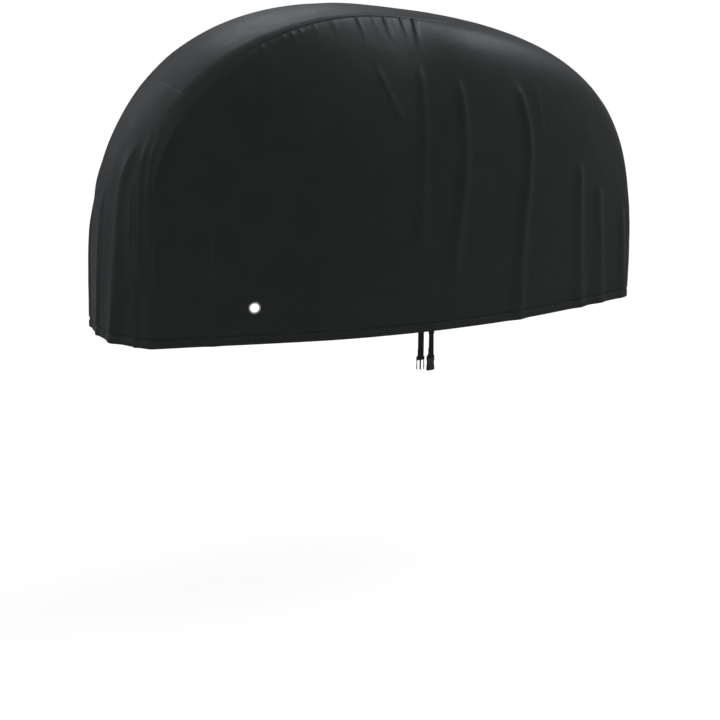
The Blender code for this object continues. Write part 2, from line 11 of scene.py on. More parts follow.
import bmesh
import bpy
import numpy as np
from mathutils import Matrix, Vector


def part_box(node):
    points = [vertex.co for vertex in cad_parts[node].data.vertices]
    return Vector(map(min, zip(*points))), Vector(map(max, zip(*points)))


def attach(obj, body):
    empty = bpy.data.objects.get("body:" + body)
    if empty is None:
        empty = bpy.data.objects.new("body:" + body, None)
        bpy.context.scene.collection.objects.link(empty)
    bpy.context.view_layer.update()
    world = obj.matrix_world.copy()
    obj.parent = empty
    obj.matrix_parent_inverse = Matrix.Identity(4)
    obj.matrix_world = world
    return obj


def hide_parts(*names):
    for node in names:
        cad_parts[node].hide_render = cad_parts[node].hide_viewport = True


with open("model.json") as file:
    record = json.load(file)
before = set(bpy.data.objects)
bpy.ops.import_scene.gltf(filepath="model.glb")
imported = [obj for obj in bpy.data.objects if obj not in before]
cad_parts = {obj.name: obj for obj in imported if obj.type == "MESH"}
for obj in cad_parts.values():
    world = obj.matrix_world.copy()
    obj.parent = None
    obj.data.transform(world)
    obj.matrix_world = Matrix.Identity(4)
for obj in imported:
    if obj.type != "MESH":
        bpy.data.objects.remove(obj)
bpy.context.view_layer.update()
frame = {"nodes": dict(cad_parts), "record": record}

# ----------------------------------------------------------
# Seams
# Black coated polyester, cut as two side panels and the strip between them, the gusset. Their edges
# are laid face to face, sewn on the inside and opened out, so each seam shows as a narrow groove.

LEFT, RIGHT = -1, 1  # sides of the bicycle, as signs of Y
CLOTH = 0.0012  # thickness of the coated cloth
hem_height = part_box("side_panel_left")[0].z  # the hem's edge, in the frame

# The seam between gusset and side panel, from the front hem over the top to the rear hem. half_width
# is half the gusset's width there, and crown how far the gusset's middle stands out from the seam.
# soft is how far from the seam the corner of panel and gusset is round, and groove the seam's depth.
SeamRow = namedtuple("SeamRow", "x z half_width crown soft groove")
SEAM = [SeamRow(*row) for row in (
    (-0.915, 0.000, 0.275, 0.135, 0.012, 0.0003),
    (-0.905, 0.285, 0.300, 0.130, 0.032, 0.00015),
    (-0.890, 0.545, 0.310, 0.090, 0.040, 0.00015),
    (-0.835, 0.710, 0.315, 0.055, 0.065, 0.00015),
    (-0.715, 0.855, 0.320, 0.045, 0.065, 0.0005),
    (-0.525, 0.970, 0.300, 0.045, 0.040, 0.0022),
    (-0.240, 1.040, 0.250, 0.035, 0.018, 0.0026),
    (0.045, 1.030, 0.205, 0.028, 0.018, 0.0018),
    (0.325, 0.985, 0.170, 0.023, 0.030, 0.0003),
    (0.575, 0.900, 0.148, 0.024, 0.040, 0.0003),
    (0.755, 0.780, 0.140, 0.030, 0.050, 0.0003),
    (0.872, 0.620, 0.145, 0.040, 0.050, 0.0003),
    (0.925, 0.400, 0.165, 0.050, 0.050, 0.0003),
    (0.930, 0.190, 0.190, 0.055, 0.045, 0.0003),
    (0.920, 0.000, 0.205, 0.060, 0.015, 0.0003),
)]
FRONT_SHOULDER, REAR_SHOULDER = 2, 12  # rows of SEAM where a panel's upright edges meet its top edge

# A side panel from front to rear. share is the part of its length, hem_half_width how far its hem
# stands from the middle, roll how late the panel turns in, and arch how round it meets the seam.
PanelRow = namedtuple("PanelRow", "share hem_half_width roll arch")
PANEL = [PanelRow(*row) for row in (
    (0.00, 0.282, 6.0, 1.30),
    (0.15, 0.327, 5.6, 1.12),
    (0.30, 0.376, 5.2, 1.06),
    (0.43, 0.395, 4.8, 1.03),
    (0.51, 0.395, 4.6, 1.20),
    (0.60, 0.385, 4.3, 2.00),
    (0.75, 0.339, 4.0, 2.20),
    (0.90, 0.261, 3.8, 2.20),
    (1.00, 0.205, 3.6, 2.20),
)]
EDGE_REACH = 0.10  # share of the length over which a panel's upright edge follows the seam
CROWN_POWER = 2.4  # flatness of the gusset's arch
CROSS_SEAM = 0.838  # along the seam from the front hem, where the gusset's two pieces meet

GUSSET_TURN, PANEL_TURN = 0.0045, 0.0200  # from a seam: the cloth turns in within these distances
CROSS_GROOVE = 0.0012  # depth of the cross seam

# Distances between rows of points on the cloth, closest where it turns or folds
NEAR_SEAM = (0.0, 0.0006, 0.0013, 0.0022, 0.0032, 0.0046, 0.0066, 0.0095, 0.013)
BELOW_SEAM = NEAR_SEAM + (0.018, 0.024, 0.031, 0.039, 0.048, 0.058, 0.069, 0.081, 0.094)
HEM = 0.030  # height of the hem's stitch line
HEM_ROUND = 0.0008  # how far both faces draw in at the hem's folded edge
HEM_ROWS = (0.0, 0.0004, 0.0012, 0.003, 0.008, 0.015, 0.022)
HEM_ROWS += (0.0265, 0.0283, 0.0292, HEM, 0.0308, 0.0317, 0.0335, 0.040)
STITCH_ROW = HEM_ROWS.index(HEM)
EYELET_ROWS = np.arange(0.052, 0.196, 0.008)
MIDDLE_ROWS, MIDDLE_COLUMNS = 54, 384  # in the rest of a side panel
GUSSET_HEM_ROWS = HEM_ROWS + (0.046, 0.053)
GUSSET_STEP = 0.0075  # between rows along the gusset
GUSSET_COLUMNS = 90
EDGE_CROWD = 0.25  # how much closer the gusset's columns are near its seams
TRIED_ROWS = 240  # places tried down a panel's columns, for rows at true distances
FALL_POWER = 2.2  # how closely they are tried near the seam, where the panel turns in fast
TRIED_ARCS = 2000  # places tried along the seam, for the one above each share of a panel
SLOPE_STEP = 0.001  # to both sides of a place, to find the seam's slope there
EDGE_BLEND = 0.01  # over which a rounded edge gives way to a nearer one

# The hem's outer face. Its stitches draw in a groove, deeper at some places than at others, small
# drags lean away from them, and the doubled cloth below them is full.
HEM_GROOVE, GROOVE_ABOVE, GROOVE_BELOW = 0.0034, 0.0032, 0.0070  # its depth, and its reach
GROOVE_CHANGE, HEM_DRAG = (0.35, 0.035, 0), (0.0009, 0.016, 1)  # height, size of a bump, seed
HEM_DRAG_REACH, HEM_DRAG_START, HEM_DRAG_LEAN = 0.014, 0.01, 0.5
HEM_FULL, FULL_RISE, FULL_FALL = 0.0008, 0.004, 0.012
EDGE_HEIGHT = 0.0013  # up to which the hem's edge is round
TURNED_UP, TURNED_UP_STEP = 0.0015, 0.001  # how far the inner layer passes the stitches, and its edge
CLOTH_CREASE = 60  # degrees, from which an edge of the cloth is sharp


def spline(knots, values, at):
    """Values of the natural cubic spline through the knots."""
    knots = np.asarray(knots, float)
    values = np.asarray(values, float)
    steps = np.diff(knots)
    size = len(knots)
    left = np.eye(size)
    right = np.zeros((size, size))
    for i in range(1, size - 1):
        before, after = steps[i - 1], steps[i]
        left[i, i - 1 : i + 2] = before, 2 * (before + after), after
        right[i, i - 1 : i + 2] = 6 / before, -6 / before - 6 / after, 6 / after
    bend = np.linalg.solve(left, right @ values)
    cell = np.clip(np.searchsorted(knots, at, side="right") - 1, 0, size - 2)
    step = steps[cell]
    upper = (at - knots[cell]) / step
    lower = 1 - upper
    curved = (lower**3 - lower) * bend[cell] + (upper**3 - upper) * bend[cell + 1]
    return lower * values[cell] + upper * values[cell + 1] + curved * step**2 / 6


def between_rows(at, knots, rows):
    """Rows of numbers, read off along a line between the rows at these knots."""
    return np.stack([np.interp(at, knots, column) for column in np.transpose(rows)], -1)


def smooth_step(value):
    """Goes softly from 0 to 1 as the value does."""
    value = np.clip(value, 0, 1)
    return value * value * (3 - 2 * value)


def unit(vectors):
    return vectors / np.linalg.norm(vectors, axis=-1, keepdims=True)


def along_rows(grid, axis):
    """Distances from the first row or column of a grid of points, or along a row of them."""
    steps = np.linalg.norm(np.diff(grid, axis=axis), axis=-1)
    return np.concatenate([np.zeros_like(np.take(steps, [0], axis)), np.cumsum(steps, axis)], axis)


seam_knots = along_rows(np.array(SEAM)[:, :2], 0)
seam_length = seam_knots[-1]
front_reach, rear_reach = seam_knots[FRONT_SHOULDER], seam_knots[REAR_SHOULDER]


def seam_at(place):
    """x, height, half width and crown of the seam at these distances along it from the front hem."""
    return tuple(spline(seam_knots, column, place) for column in list(zip(*SEAM))[:4])


def normals_of(grid, side):
    """Unit normals of a grid of points. side is the way the grid faces."""
    return -side * unit(np.cross(np.gradient(grid, axis=1), np.gradient(grid, axis=0)))


fine_arcs = np.linspace(front_reach, rear_reach, TRIED_ARCS)
fine_x = seam_at(fine_arcs)[0]
fine_shares = (fine_x - fine_x[0]) / np.ptp(fine_x)


def turn_in(up, roll, arch):
    """How far a panel has turned in from its hem's line to its seam's, 0 to 1."""
    return 1 - (1 - up**roll) ** (1 / arch)


def panel_points(share, up):
    """A panel's smooth shape. share runs from front to rear and up from hem to seam, 0 to 1."""
    front_x, front_z, front_half, _ = seam_at(up * front_reach)
    rear_x, rear_z, rear_half, _ = seam_at(seam_length - up * (seam_length - rear_reach))
    top_x, top_z, top_half, _ = seam_at(np.interp(share, fine_shares, fine_arcs))
    ends_x, ends_z, ends_half, _ = seam_at(np.array([front_reach, rear_reach]))
    x, z = (
        up * top + (1 - share) * (front - up * ends[0]) + share * (rear - up * ends[1])
        for top, front, rear, ends in ((top_x, front_x, rear_x, ends_x), (top_z, front_z, rear_z, ends_z))
    )
    shares, *columns = zip(*PANEL)
    hem_half, roll, arch = (spline(shares, column, share) for column in columns)
    turned = turn_in(up, roll, arch)
    half = (1 - turned) * hem_half + turned * top_half
    for row, end_half, edge_half, gap in (
        (PANEL[0], ends_half[0], front_half, share),
        (PANEL[-1], ends_half[1], rear_half, 1 - share),
    ):
        turned = turn_in(up, row.roll, row.arch)
        bare = (1 - turned) * row.hem_half_width + turned * end_half
        half = half + np.exp(-((gap / EDGE_REACH) ** 2)) * (edge_half - bare)
    return np.stack([x, half, z], -1)


def panel_grid():
    """share and up of every point of a panel, with rows at true distances on the cloth."""
    hem_length = np.ptp(seam_at(np.array([0.0, seam_length]))[0])
    edge = np.array(NEAR_SEAM) / hem_length
    middle = np.linspace(edge[-1], 1 - edge[-1], MIDDLE_COLUMNS)
    share = np.r_[edge[:-1], middle, 1 - edge[-2::-1]]
    fall = np.linspace(1, 0, TRIED_ROWS)
    fine_up = np.broadcast_to(1 - fall[:, None] ** FALL_POWER, (len(fall), len(share)))
    reach = along_rows(panel_points(np.broadcast_to(share, fine_up.shape), fine_up), 0)
    low = np.r_[HEM_ROWS, EYELET_ROWS]
    high = np.array(BELOW_SEAM)[::-1]
    columns = []
    for column, length in enumerate(reach[-1]):
        middle = np.linspace(low[-1], length - high[0], MIDDLE_ROWS + 2)[1:-1]
        place = np.r_[low, middle, length - high]
        columns.append(1 - np.interp(place, reach[:, column], fall) ** FALL_POWER)
    up = np.stack(columns, 1)
    up[0], up[-1] = 0, 1
    return np.broadcast_to(share, up.shape), up


def gusset_points(place, across, lift=0):
    """The gusset's shape at distances along the seam and from the left seam, -1, to the right, 1."""
    x, z, half, crown = seam_at(place)
    ahead, behind = seam_at(place + SLOPE_STEP), seam_at(place - SLOPE_STEP)
    slope = unit(np.stack([ahead[0] - behind[0], ahead[1] - behind[1]], -1))
    lift = lift + crown * (1 - np.abs(across) ** CROWN_POWER)
    return np.stack([x - slope[..., 1] * lift, half * across, z + slope[..., 0] * lift], -1)


def gusset_grid():
    """place and across of every point of the gusset."""
    low, near = np.array(GUSSET_HEM_ROWS), np.array(NEAR_SEAM)
    front_end, top_start = CROSS_SEAM - near[-1], CROSS_SEAM + near[-1]
    front = np.arange(low[-1] + GUSSET_STEP, front_end - GUSSET_STEP / 2, GUSSET_STEP)
    top = np.arange(top_start + GUSSET_STEP, seam_length - low[-1] - GUSSET_STEP / 2, GUSSET_STEP)
    cross = np.r_[-near[:0:-1], near] + CROSS_SEAM
    place = np.r_[low, front, cross, top, seam_length - low[::-1]]
    edge = near / np.mean([row.half_width for row in SEAM])
    middle = np.linspace(-1, 1, GUSSET_COLUMNS)
    middle = (1 - edge[-1]) * middle * (1 + EDGE_CROWD * (1 - middle**2))
    across = np.r_[edge[:-1] - 1, middle, 1 - edge[-2::-1]]
    return np.broadcast_arrays(place[:, None], across)


# The bare shapes of the right panel and the gusset, and the normals that they share at the seam
share, up = panel_grid()
place, across = gusset_grid()
bare_panel = panel_points(share, up)
bare_gusset = gusset_points(place, across)
front_arc = up[:, 0] * front_reach
rear_arc = seam_length - up[:, -1] * (seam_length - rear_reach)
top_arc = np.interp(share[-1], fine_shares, fine_arcs)
panel_normals = normals_of(bare_panel, RIGHT)
edge_arcs = np.r_[front_arc, top_arc[1:-1], rear_arc[::-1]]
edge_normals = np.r_[panel_normals[:, 0], panel_normals[-1, 1:-1], panel_normals[::-1, -1]]
gusset_normals = normals_of(bare_gusset, RIGHT)[:, -1]


def seam_edge(distance, arc, side, turn):
    """A sewn edge of a grid, for turn_edges. arc is the place along the seam nearest each point."""
    panel_way = between_rows(arc, edge_arcs, edge_normals)
    gusset_way = between_rows(arc, place[:, 0], gusset_normals)
    corner = np.sqrt(np.clip(1 - (unit(panel_way) * unit(gusset_way)).sum(axis=-1), 0, 2) / 2)
    soft, groove = (np.interp(arc, seam_knots, column) for column in list(zip(*SEAM))[4:])
    fall = groove * np.clip(1 - distance / turn, 0, 1) ** 2
    return distance, unit(panel_way + gusset_way) * (1, side, 1), corner, soft, fall


def turn_edges(points, edges):
    """Rounds the corners at a cloth's sewn edges, and turns the cloth in there.

    An edge is (distance to it, normal there, sine of half the corner's angle, soft, fall), as grids.
    """
    nearest = np.minimum.reduce([edge[0] for edge in edges])
    for distance, normal, corner, soft, fall in edges:
        reach = np.clip(1 - distance / soft, 0, 1)
        reach = reach * smooth_step((nearest + EDGE_BLEND - distance) / EDGE_BLEND)
        depth = corner * soft / 2 * reach**2 + fall * (distance <= nearest)
        points = points - depth[..., None] * normal
    return points


def uneven(across, up, kind, more_seed):
    """Soft random unevenness of the cloth. kind is (height, size of a bump, seed)."""
    height, size, seed = kind
    spots = np.random.default_rng(seed + more_seed)
    i, j = up / size, across / size
    i, j = i - i.min(), j - j.min()
    lattice = spots.uniform(-1, 1, (int(i.max()) + 2, int(j.max()) + 2))
    row, column = i.astype(int), j.astype(int)
    rise, run = smooth_step(i - row), smooth_step(j - column)
    low = lattice[row, column] * (1 - run) + lattice[row, column + 1] * run
    high = lattice[row + 1, column] * (1 - run) + lattice[row + 1, column + 1] * run
    return height * (low * (1 - rise) + high * rise)


def hem_shape(above, along, seed):
    """How far the hem's outer face stands out: full above its edge, and drawn in at its stitches."""
    off = above - HEM
    reach = np.where(off > 0, GROOVE_ABOVE, GROOVE_BELOW)
    depth = HEM_GROOVE * (1 + uneven(along, above * 0, GROOVE_CHANGE, seed))
    groove = -depth * np.exp(-((off / reach) ** 2))
    full = HEM_FULL * smooth_step(above / FULL_RISE) * smooth_step((HEM - above) / FULL_FALL)
    drag = uneven(along - above * HEM_DRAG_LEAN, above, HEM_DRAG, seed)
    drag *= np.exp(-((off / HEM_DRAG_REACH) ** 2)) * smooth_step(above / HEM_DRAG_START)
    return groove + full + drag - HEM_ROUND * (1 - smooth_step(above / EDGE_HEIGHT))


def cloth_wall(above):
    """Thickness of the cloth, which is folded double in the hem and round at its edge."""
    double = CLOTH * (1 + smooth_step((HEM + TURNED_UP - above) / TURNED_UP_STEP))
    return double - 2 * HEM_ROUND * (1 - smooth_step(above / EDGE_HEIGHT))


def add_object(name, data):
    """A new object in the scene, at the origin."""
    made = bpy.data.objects.new(name, data)
    bpy.context.scene.collection.objects.link(made)
    return made


def add_piece(name, points, faces, crease, finish, uv=None):
    """A smooth mesh with its finish, and edges that are sharp from crease on, in degrees.

    points are in the frame. uv is each point's place on the cloth, in metres.
    """
    mesh = bpy.data.meshes.new(name)
    mesh.from_pydata(points.tolist(), [], faces)
    if uv is not None:
        corners = np.empty(len(mesh.loops), np.int32)
        mesh.loops.foreach_get("vertex_index", corners)
        layer = mesh.uv_layers.new(name="cloth")
        layer.data.foreach_set("uv", uv[corners].astype(np.float32).ravel())
    mesh.shade_smooth()
    mesh.set_sharp_from_angle(angle=math.radians(crease))
    mesh.materials.append(finish)
    return add_object(name, mesh)


def cloth_piece(name, outer, side, wall, uv, hole=None):
    """A closed sheet under a grid of points. hole is (centre, axis, radius) of a round hole."""
    normals = normals_of(outer, side).reshape(-1, 3)
    index = np.arange(outer[..., 0].size).reshape(outer.shape[:2])
    corners = index[:-1, :-1], index[:-1, 1:], index[1:, 1:], index[1:, :-1]
    faces = np.stack(corners, -1).reshape(-1, 4)[:, ::-side]
    if hole:
        centre, axis, radius = hole
        middles = outer.reshape(-1, 3)[faces].mean(axis=1)
        faces = faces[np.linalg.norm(middles - centre, axis=1) > radius]
    used, faces = np.unique(faces, return_inverse=True)
    faces = faces.reshape(-1, 4)
    count = len(used)
    ends = np.stack([faces, np.roll(faces, -1, axis=1)], -1).reshape(-1, 2)
    rim = ends[~np.isin(ends @ (count, 1), ends @ (1, count))]
    walls = np.stack([rim[:, 1], rim[:, 0], rim[:, 0] + count, rim[:, 1] + count], -1)
    top, normals = outer.reshape(-1, 3)[used], normals[used]
    if hole:
        edge = np.unique(rim)
        edge = edge[np.linalg.norm(top[edge] - centre, axis=1) < 2 * radius]
        off = top[edge] - centre
        off -= (off @ axis)[:, None] * axis
        top[edge] = centre + radius * unit(off)
        normals[edge] = axis
    points = np.r_[top, top - normals * wall.reshape(-1)[used][:, None]] + (0, 0, hem_height)
    faces = np.r_[faces, faces[:, ::-1] + count, walls].tolist()
    uv = np.tile(uv.reshape(-1, 2)[used], (2, 1))
    return add_piece(name, points, faces, CLOTH_CREASE, coated_cloth, uv)


def add_node(tree, kind, inputs=None, **settings):
    """A node with its settings, and its inputs as values or as other nodes' outputs."""
    node = tree.nodes.new(kind)
    for name, value in settings.items():
        setattr(node, name, value)
    for key, value in (inputs or {}).items():
        if isinstance(value, bpy.types.NodeSocket):
            tree.links.new(value, node.inputs[key])
        else:
            node.inputs[key].default_value = value
    return node


def maths(tree, operation, *values):
    """The output of a Math node."""
    return add_node(tree, "ShaderNodeMath", dict(enumerate(values)), operation=operation).outputs[0]


def add_group(name, inputs, outputs):
    """An empty shader node group. inputs are (name, default), where the default tells the kind."""
    group = bpy.data.node_groups.new(name, "ShaderNodeTree")
    for label, value in inputs:
        kind = "NodeSocketVector" if value is None else "NodeSocketFloat"
        socket = group.interface.new_socket(label, in_out="INPUT", socket_type=kind)
        if value is not None:
            socket.default_value = value
    for label in outputs:
        group.interface.new_socket(label, in_out="OUTPUT", socket_type="NodeSocketFloat")
    return group, add_node(group, "NodeGroupInput").outputs, add_node(group, "NodeGroupOutput").inputs


def plain_weave():
    """Over-and-under threads. Height goes from 0 between the threads to 1 on top of them."""
    group, given, result = add_group("plain_weave", [("Vector", None), ("Thread", 0.0005)], ["Height"])
    parts = add_node(group, "ShaderNodeSeparateXYZ", {0: given["Vector"]}).outputs
    places = [maths(group, "DIVIDE", parts[i], given["Thread"]) for i in (0, 1)]
    heights = []
    for this, other, late in ((places[0], places[1], -0.5), (places[1], places[0], 0.5)):
        thread = maths(group, "ABSOLUTE", maths(group, "SINE", maths(group, "MULTIPLY", this, math.pi)))
        turn = maths(group, "ADD", maths(group, "ADD", other, maths(group, "FLOOR", this)), late)
        over = maths(group, "COSINE", maths(group, "MULTIPLY", turn, math.pi))
        over = maths(group, "MULTIPLY_ADD", over, 0.5, 0.5)
        heights.append(maths(group, "MULTIPLY", thread, over))
    group.links.new(maths(group, "MAXIMUM", *heights), result["Height"])
    return group


DUST_SCALE, DUST_RANGE = 9.0, (0.42, 0.72)  # patches to the metre, and the noise that shows as dust


def handling():
    """Marks of use: Crumple, soft creases from -1 to 1, and Dust, a patchy mask from 0 to 1."""
    inputs = [("Vector", None), ("Crumple Size", 0.05)]
    group, given, result = add_group("handling", inputs, ["Crumple", "Dust"])
    scale = maths(group, "DIVIDE", 1.0, given["Crumple Size"])
    looks = {"Vector": given["Vector"], "Scale": scale, "Detail": 3.0, "Roughness": 0.55, "Distortion": 0.6}
    soft = add_node(group, "ShaderNodeTexNoise", looks).outputs[0]
    group.links.new(maths(group, "MULTIPLY_ADD", soft, 2.0, -1.0), result["Crumple"])
    looks = {"Vector": given["Vector"], "Scale": DUST_SCALE, "Detail": 5.0}
    patches = add_node(group, "ShaderNodeTexNoise", looks).outputs[0]
    low, high = DUST_RANGE
    dust = add_node(group, "ShaderNodeMapRange", {0: patches, 1: low, 2: high})
    group.links.new(dust.outputs[0], result["Dust"])
    return group


def add_marks(tree, size):
    """The outputs of the marks of use on an object, with creases of this size."""
    place = add_node(tree, "ShaderNodeTexCoord").outputs["Object"]
    inputs = {"Vector": place, "Crumple Size": size}
    return add_node(tree, "ShaderNodeGroup", inputs, node_tree=handling_marks).outputs


def add_threads(tree, width):
    """The height of a cloth's threads of this width, from its UV map."""
    place = add_node(tree, "ShaderNodeUVMap", uv_map="cloth").outputs[0]
    inputs = {"Vector": place, "Thread": width}
    return add_node(tree, "ShaderNodeGroup", inputs, node_tree=woven_threads).outputs["Height"]


def add_finish(name, metallic=0.0, specular=0.5):
    """A material with a Principled BSDF, its nodes, and that shader's inputs."""
    made = bpy.data.materials.new(name)
    made.use_nodes = True
    shader = made.node_tree.nodes["Principled BSDF"].inputs
    shader["Metallic"].default_value = metallic
    shader["Specular IOR Level"].default_value = specular
    return made, made.node_tree, shader


def set_looks(tree, shader, shade, roughness, height=None):
    """Gives a shader its colour, its roughness and a relief of this height in metres."""
    tree.links.new(shade, shader["Base Color"])
    tree.links.new(roughness, shader["Roughness"])
    if height is not None:
        bump = add_node(tree, "ShaderNodeBump", {"Height": height, "Distance": 1.0})
        tree.links.new(bump.outputs[0], shader["Normal"])


def mixed(tree, mask, low, high):
    """A value that goes from low to high as a mask goes from 0 to 1."""
    return add_node(tree, "ShaderNodeMapRange", {0: mask, 3: low, 4: high}).outputs[0]


def grey(tree, value, green=1.0, blue=1.0):
    """A colour that is nearly neutral, from a value."""
    parts = [value, maths(tree, "MULTIPLY", value, green), maths(tree, "MULTIPLY", value, blue)]
    return add_node(tree, "ShaderNodeCombineColor", dict(enumerate(parts))).outputs[0]


# Colours and roughness are given for clean and for dusty places
CLOTH_SHADES, CLOTH_GREEN, CLOTH_BLUE = (0.0245, 0.0295), 1.06, 0.98
CLOTH_ROUGHNESS = (0.40, 0.47)
WEAVE_THREAD = 0.00045  # width of the polyester's threads
WEAVE_HEIGHT = 0.000012  # of the threads under the coating
CRUMPLE_SIZE, CRUMPLE_HEIGHT = 0.06, 0.0006

woven_threads, handling_marks = plain_weave(), handling()
coated_cloth, tree, shader = add_finish("coated_cloth")
marks = add_marks(tree, CRUMPLE_SIZE)
weave = maths(tree, "MULTIPLY", add_threads(tree, WEAVE_THREAD), WEAVE_HEIGHT)
height = maths(tree, "ADD", weave, maths(tree, "MULTIPLY", marks["Crumple"], CRUMPLE_HEIGHT))
shade = grey(tree, mixed(tree, marks["Dust"], *CLOTH_SHADES), CLOTH_GREEN, CLOTH_BLUE)
set_looks(tree, shader, shade, mixed(tree, marks["Dust"], *CLOTH_ROUGHNESS), height)

# ----------------------------------------------------------
# Side panels
# Each is one thin sheet, cut to the bicycle's outline and hemmed below. It rolls in to its seam,
# hangs in a few soft folds, and puckers where the seam's thread pulls it.

# Folds that hang in the panels, as ridges. crest runs from the top down as (x, z), and the widths are
# those at its two ends. The side towards the front is the wider one.
FoldRow = namedtuple("FoldRow", "crest height top_width low_width")
LEFT_FOLDS = [FoldRow(*row) for row in (
    (((-0.722, 0.400), (-0.720, 0.200), (-0.715, 0.000)), 0.0040, 0.026, 0.034),
    (((-0.155, 0.905), (-0.113, 0.804), (-0.060, 0.690)), 0.0034, 0.013, 0.020),
    (((0.008, 0.890), (0.008, 0.720), (-0.003, 0.540), (-0.006, 0.280)), 0.0050, 0.024, 0.044),
    (
        ((0.140, 0.845), (0.154, 0.690), (0.150, 0.540), (0.128, 0.343), (0.110, 0.160)),
        0.0078, 0.026, 0.054,
    ),
    (
        ((0.366, 0.820), (0.403, 0.690), (0.412, 0.560), (0.398, 0.390), (0.386, 0.200), (0.386, 0.000)),
        0.0095, 0.026, 0.054,
    ),
    (((0.452, 0.820), (0.462, 0.740), (0.475, 0.640)), 0.0024, 0.016, 0.022),
    (((0.646, 0.540), (0.655, 0.290), (0.676, 0.000)), 0.0085, 0.034, 0.054),
    (((0.748, 0.450), (0.764, 0.220), (0.780, 0.000)), 0.0072, 0.032, 0.050),
    (((0.878, 0.370), (0.890, 0.190), (0.902, 0.000)), 0.0050, 0.026, 0.034),
)]
RIGHT_FOLDS = [FoldRow(*row) for row in (
    (((-0.600, 0.620), (-0.626, 0.300), (-0.640, 0.000)), 0.0065, 0.026, 0.050),
    (((-0.330, 0.880), (-0.290, 0.560), (-0.285, 0.120)), 0.0055, 0.024, 0.048),
    (((0.060, 0.900), (0.088, 0.580), (0.080, 0.100)), 0.0075, 0.024, 0.050),
    (((0.300, 0.850), (0.342, 0.520), (0.330, 0.000)), 0.0088, 0.026, 0.052),
    (((0.590, 0.620), (0.606, 0.330), (0.610, 0.000)), 0.0070, 0.026, 0.046),
    (((0.800, 0.420), (0.808, 0.200), (0.812, 0.000)), 0.0060, 0.024, 0.038),
)]
FOLD_RISE = 0.05  # height over which a fold reaches its full size
SLOW_SIDE, FAST_SIDE = 1.1, 0.8  # a fold's two sides, as shares of its width
CREST_ROUND = 0.10  # share of each side over which a fold's crest is round
FOOT = 0.6  # share of a fold's height over which it runs out at its foot

# Puckers that the seam pulls in the panel below it. lean is how far one runs to the rear for each
# metre down. Their front side is the steep one.
PuckerRow = namedtuple("PuckerRow", "x lean reach width height")
LEFT_PUCKERS = [PuckerRow(*row) for row in (
    (-0.575, 0.30, 0.040, 0.008, 0.0020),
    (-0.532, 0.30, 0.060, 0.009, 0.0030),
    (-0.500, 0.35, 0.045, 0.007, 0.0018),
    (-0.458, 0.30, 0.060, 0.008, 0.0028),
    (-0.427, 0.25, 0.075, 0.009, 0.0028),
    (-0.397, 0.30, 0.070, 0.009, 0.0024),
    (-0.347, 0.30, 0.060, 0.010, 0.0024),
    (-0.280, 0.25, 0.070, 0.010, 0.0022),
    (-0.188, 0.20, 0.110, 0.011, 0.0044),
    (-0.130, 0.12, 0.070, 0.010, 0.0028),
    (-0.088, 0.16, 0.110, 0.012, 0.0062),
    (-0.055, 0.05, 0.060, 0.009, 0.0022),
    (-0.024, 0.10, 0.100, 0.011, 0.0056),
    (0.024, -0.04, 0.140, 0.013, 0.0085),
)]
RIGHT_PUCKERS = [PuckerRow(*row) for row in (
    (-0.570, 0.20, 0.070, 0.010, 0.0022),
    (-0.480, 0.25, 0.060, 0.008, 0.0018),
    (-0.360, 0.20, 0.080, 0.010, 0.0028),
    (-0.300, 0.15, 0.060, 0.009, 0.0020),
    (-0.240, 0.10, 0.090, 0.010, 0.0030),
    (-0.165, 0.08, 0.070, 0.010, 0.0032),
    (-0.040, 0.00, 0.120, 0.012, 0.0044),
    (0.020, 0.00, 0.060, 0.009, 0.0022),
    (0.090, -0.10, 0.090, 0.012, 0.0034),
    (0.250, -0.10, 0.070, 0.010, 0.0022),
)]
PUCKER_SPREAD = 0.6  # by how much of its width a pucker grows towards its foot
PUCKER_FADE = 1.5  # how fast it goes down, as a power


def ridge(off, fast_side=FAST_SIDE):
    """A fold's section, 1 at its crest, with flat sides that run out softly. The slow side is off < 0."""
    off = np.abs(off / np.where(off < 0, SLOW_SIDE, fast_side))
    left = 1 + CREST_ROUND - np.sqrt(off**2 + CREST_ROUND**2)
    full = 1 - FOOT / 2
    return np.where(left > FOOT, left - FOOT / 2, np.clip(left, 0, None) ** 2 / (2 * FOOT)) / full


def fold_crest(fold, z, top_rise):
    """The place of a fold's crest at these heights, and how far the fold stands out there."""
    places, heights = zip(*fold.crest[::-1])
    low, top = heights[0], heights[-1]
    full = fold.height * smooth_step((top - z) / top_rise)
    if low > 0:
        full = full * smooth_step((z - low) / FOLD_RISE)
    return spline(heights, places, np.clip(z, low, top)), full


def fold_height(x, z, folds):
    """How far a panel's folds stand out at these places."""
    height = np.zeros_like(x)
    for fold in folds:
        centre, full = fold_crest(fold, z, FOLD_RISE)
        ends = fold.crest[-1][1], fold.crest[0][1]
        width = np.interp(z, ends, (fold.low_width, fold.top_width))
        height += full * ridge((x - centre) / width)
    return height


def pucker_height(x, below, puckers):
    """How far the seam's puckers stand out, at these distances below it."""
    height = np.zeros_like(x)
    for pucker in puckers:
        left = np.clip(1 - below / pucker.reach, 0, 1)
        width = pucker.width * (1 + PUCKER_SPREAD * (1 - left))
        off = (x - pucker.x - pucker.lean * below) / width
        height += pucker.height * left**PUCKER_FADE * ridge(-off)
    return height


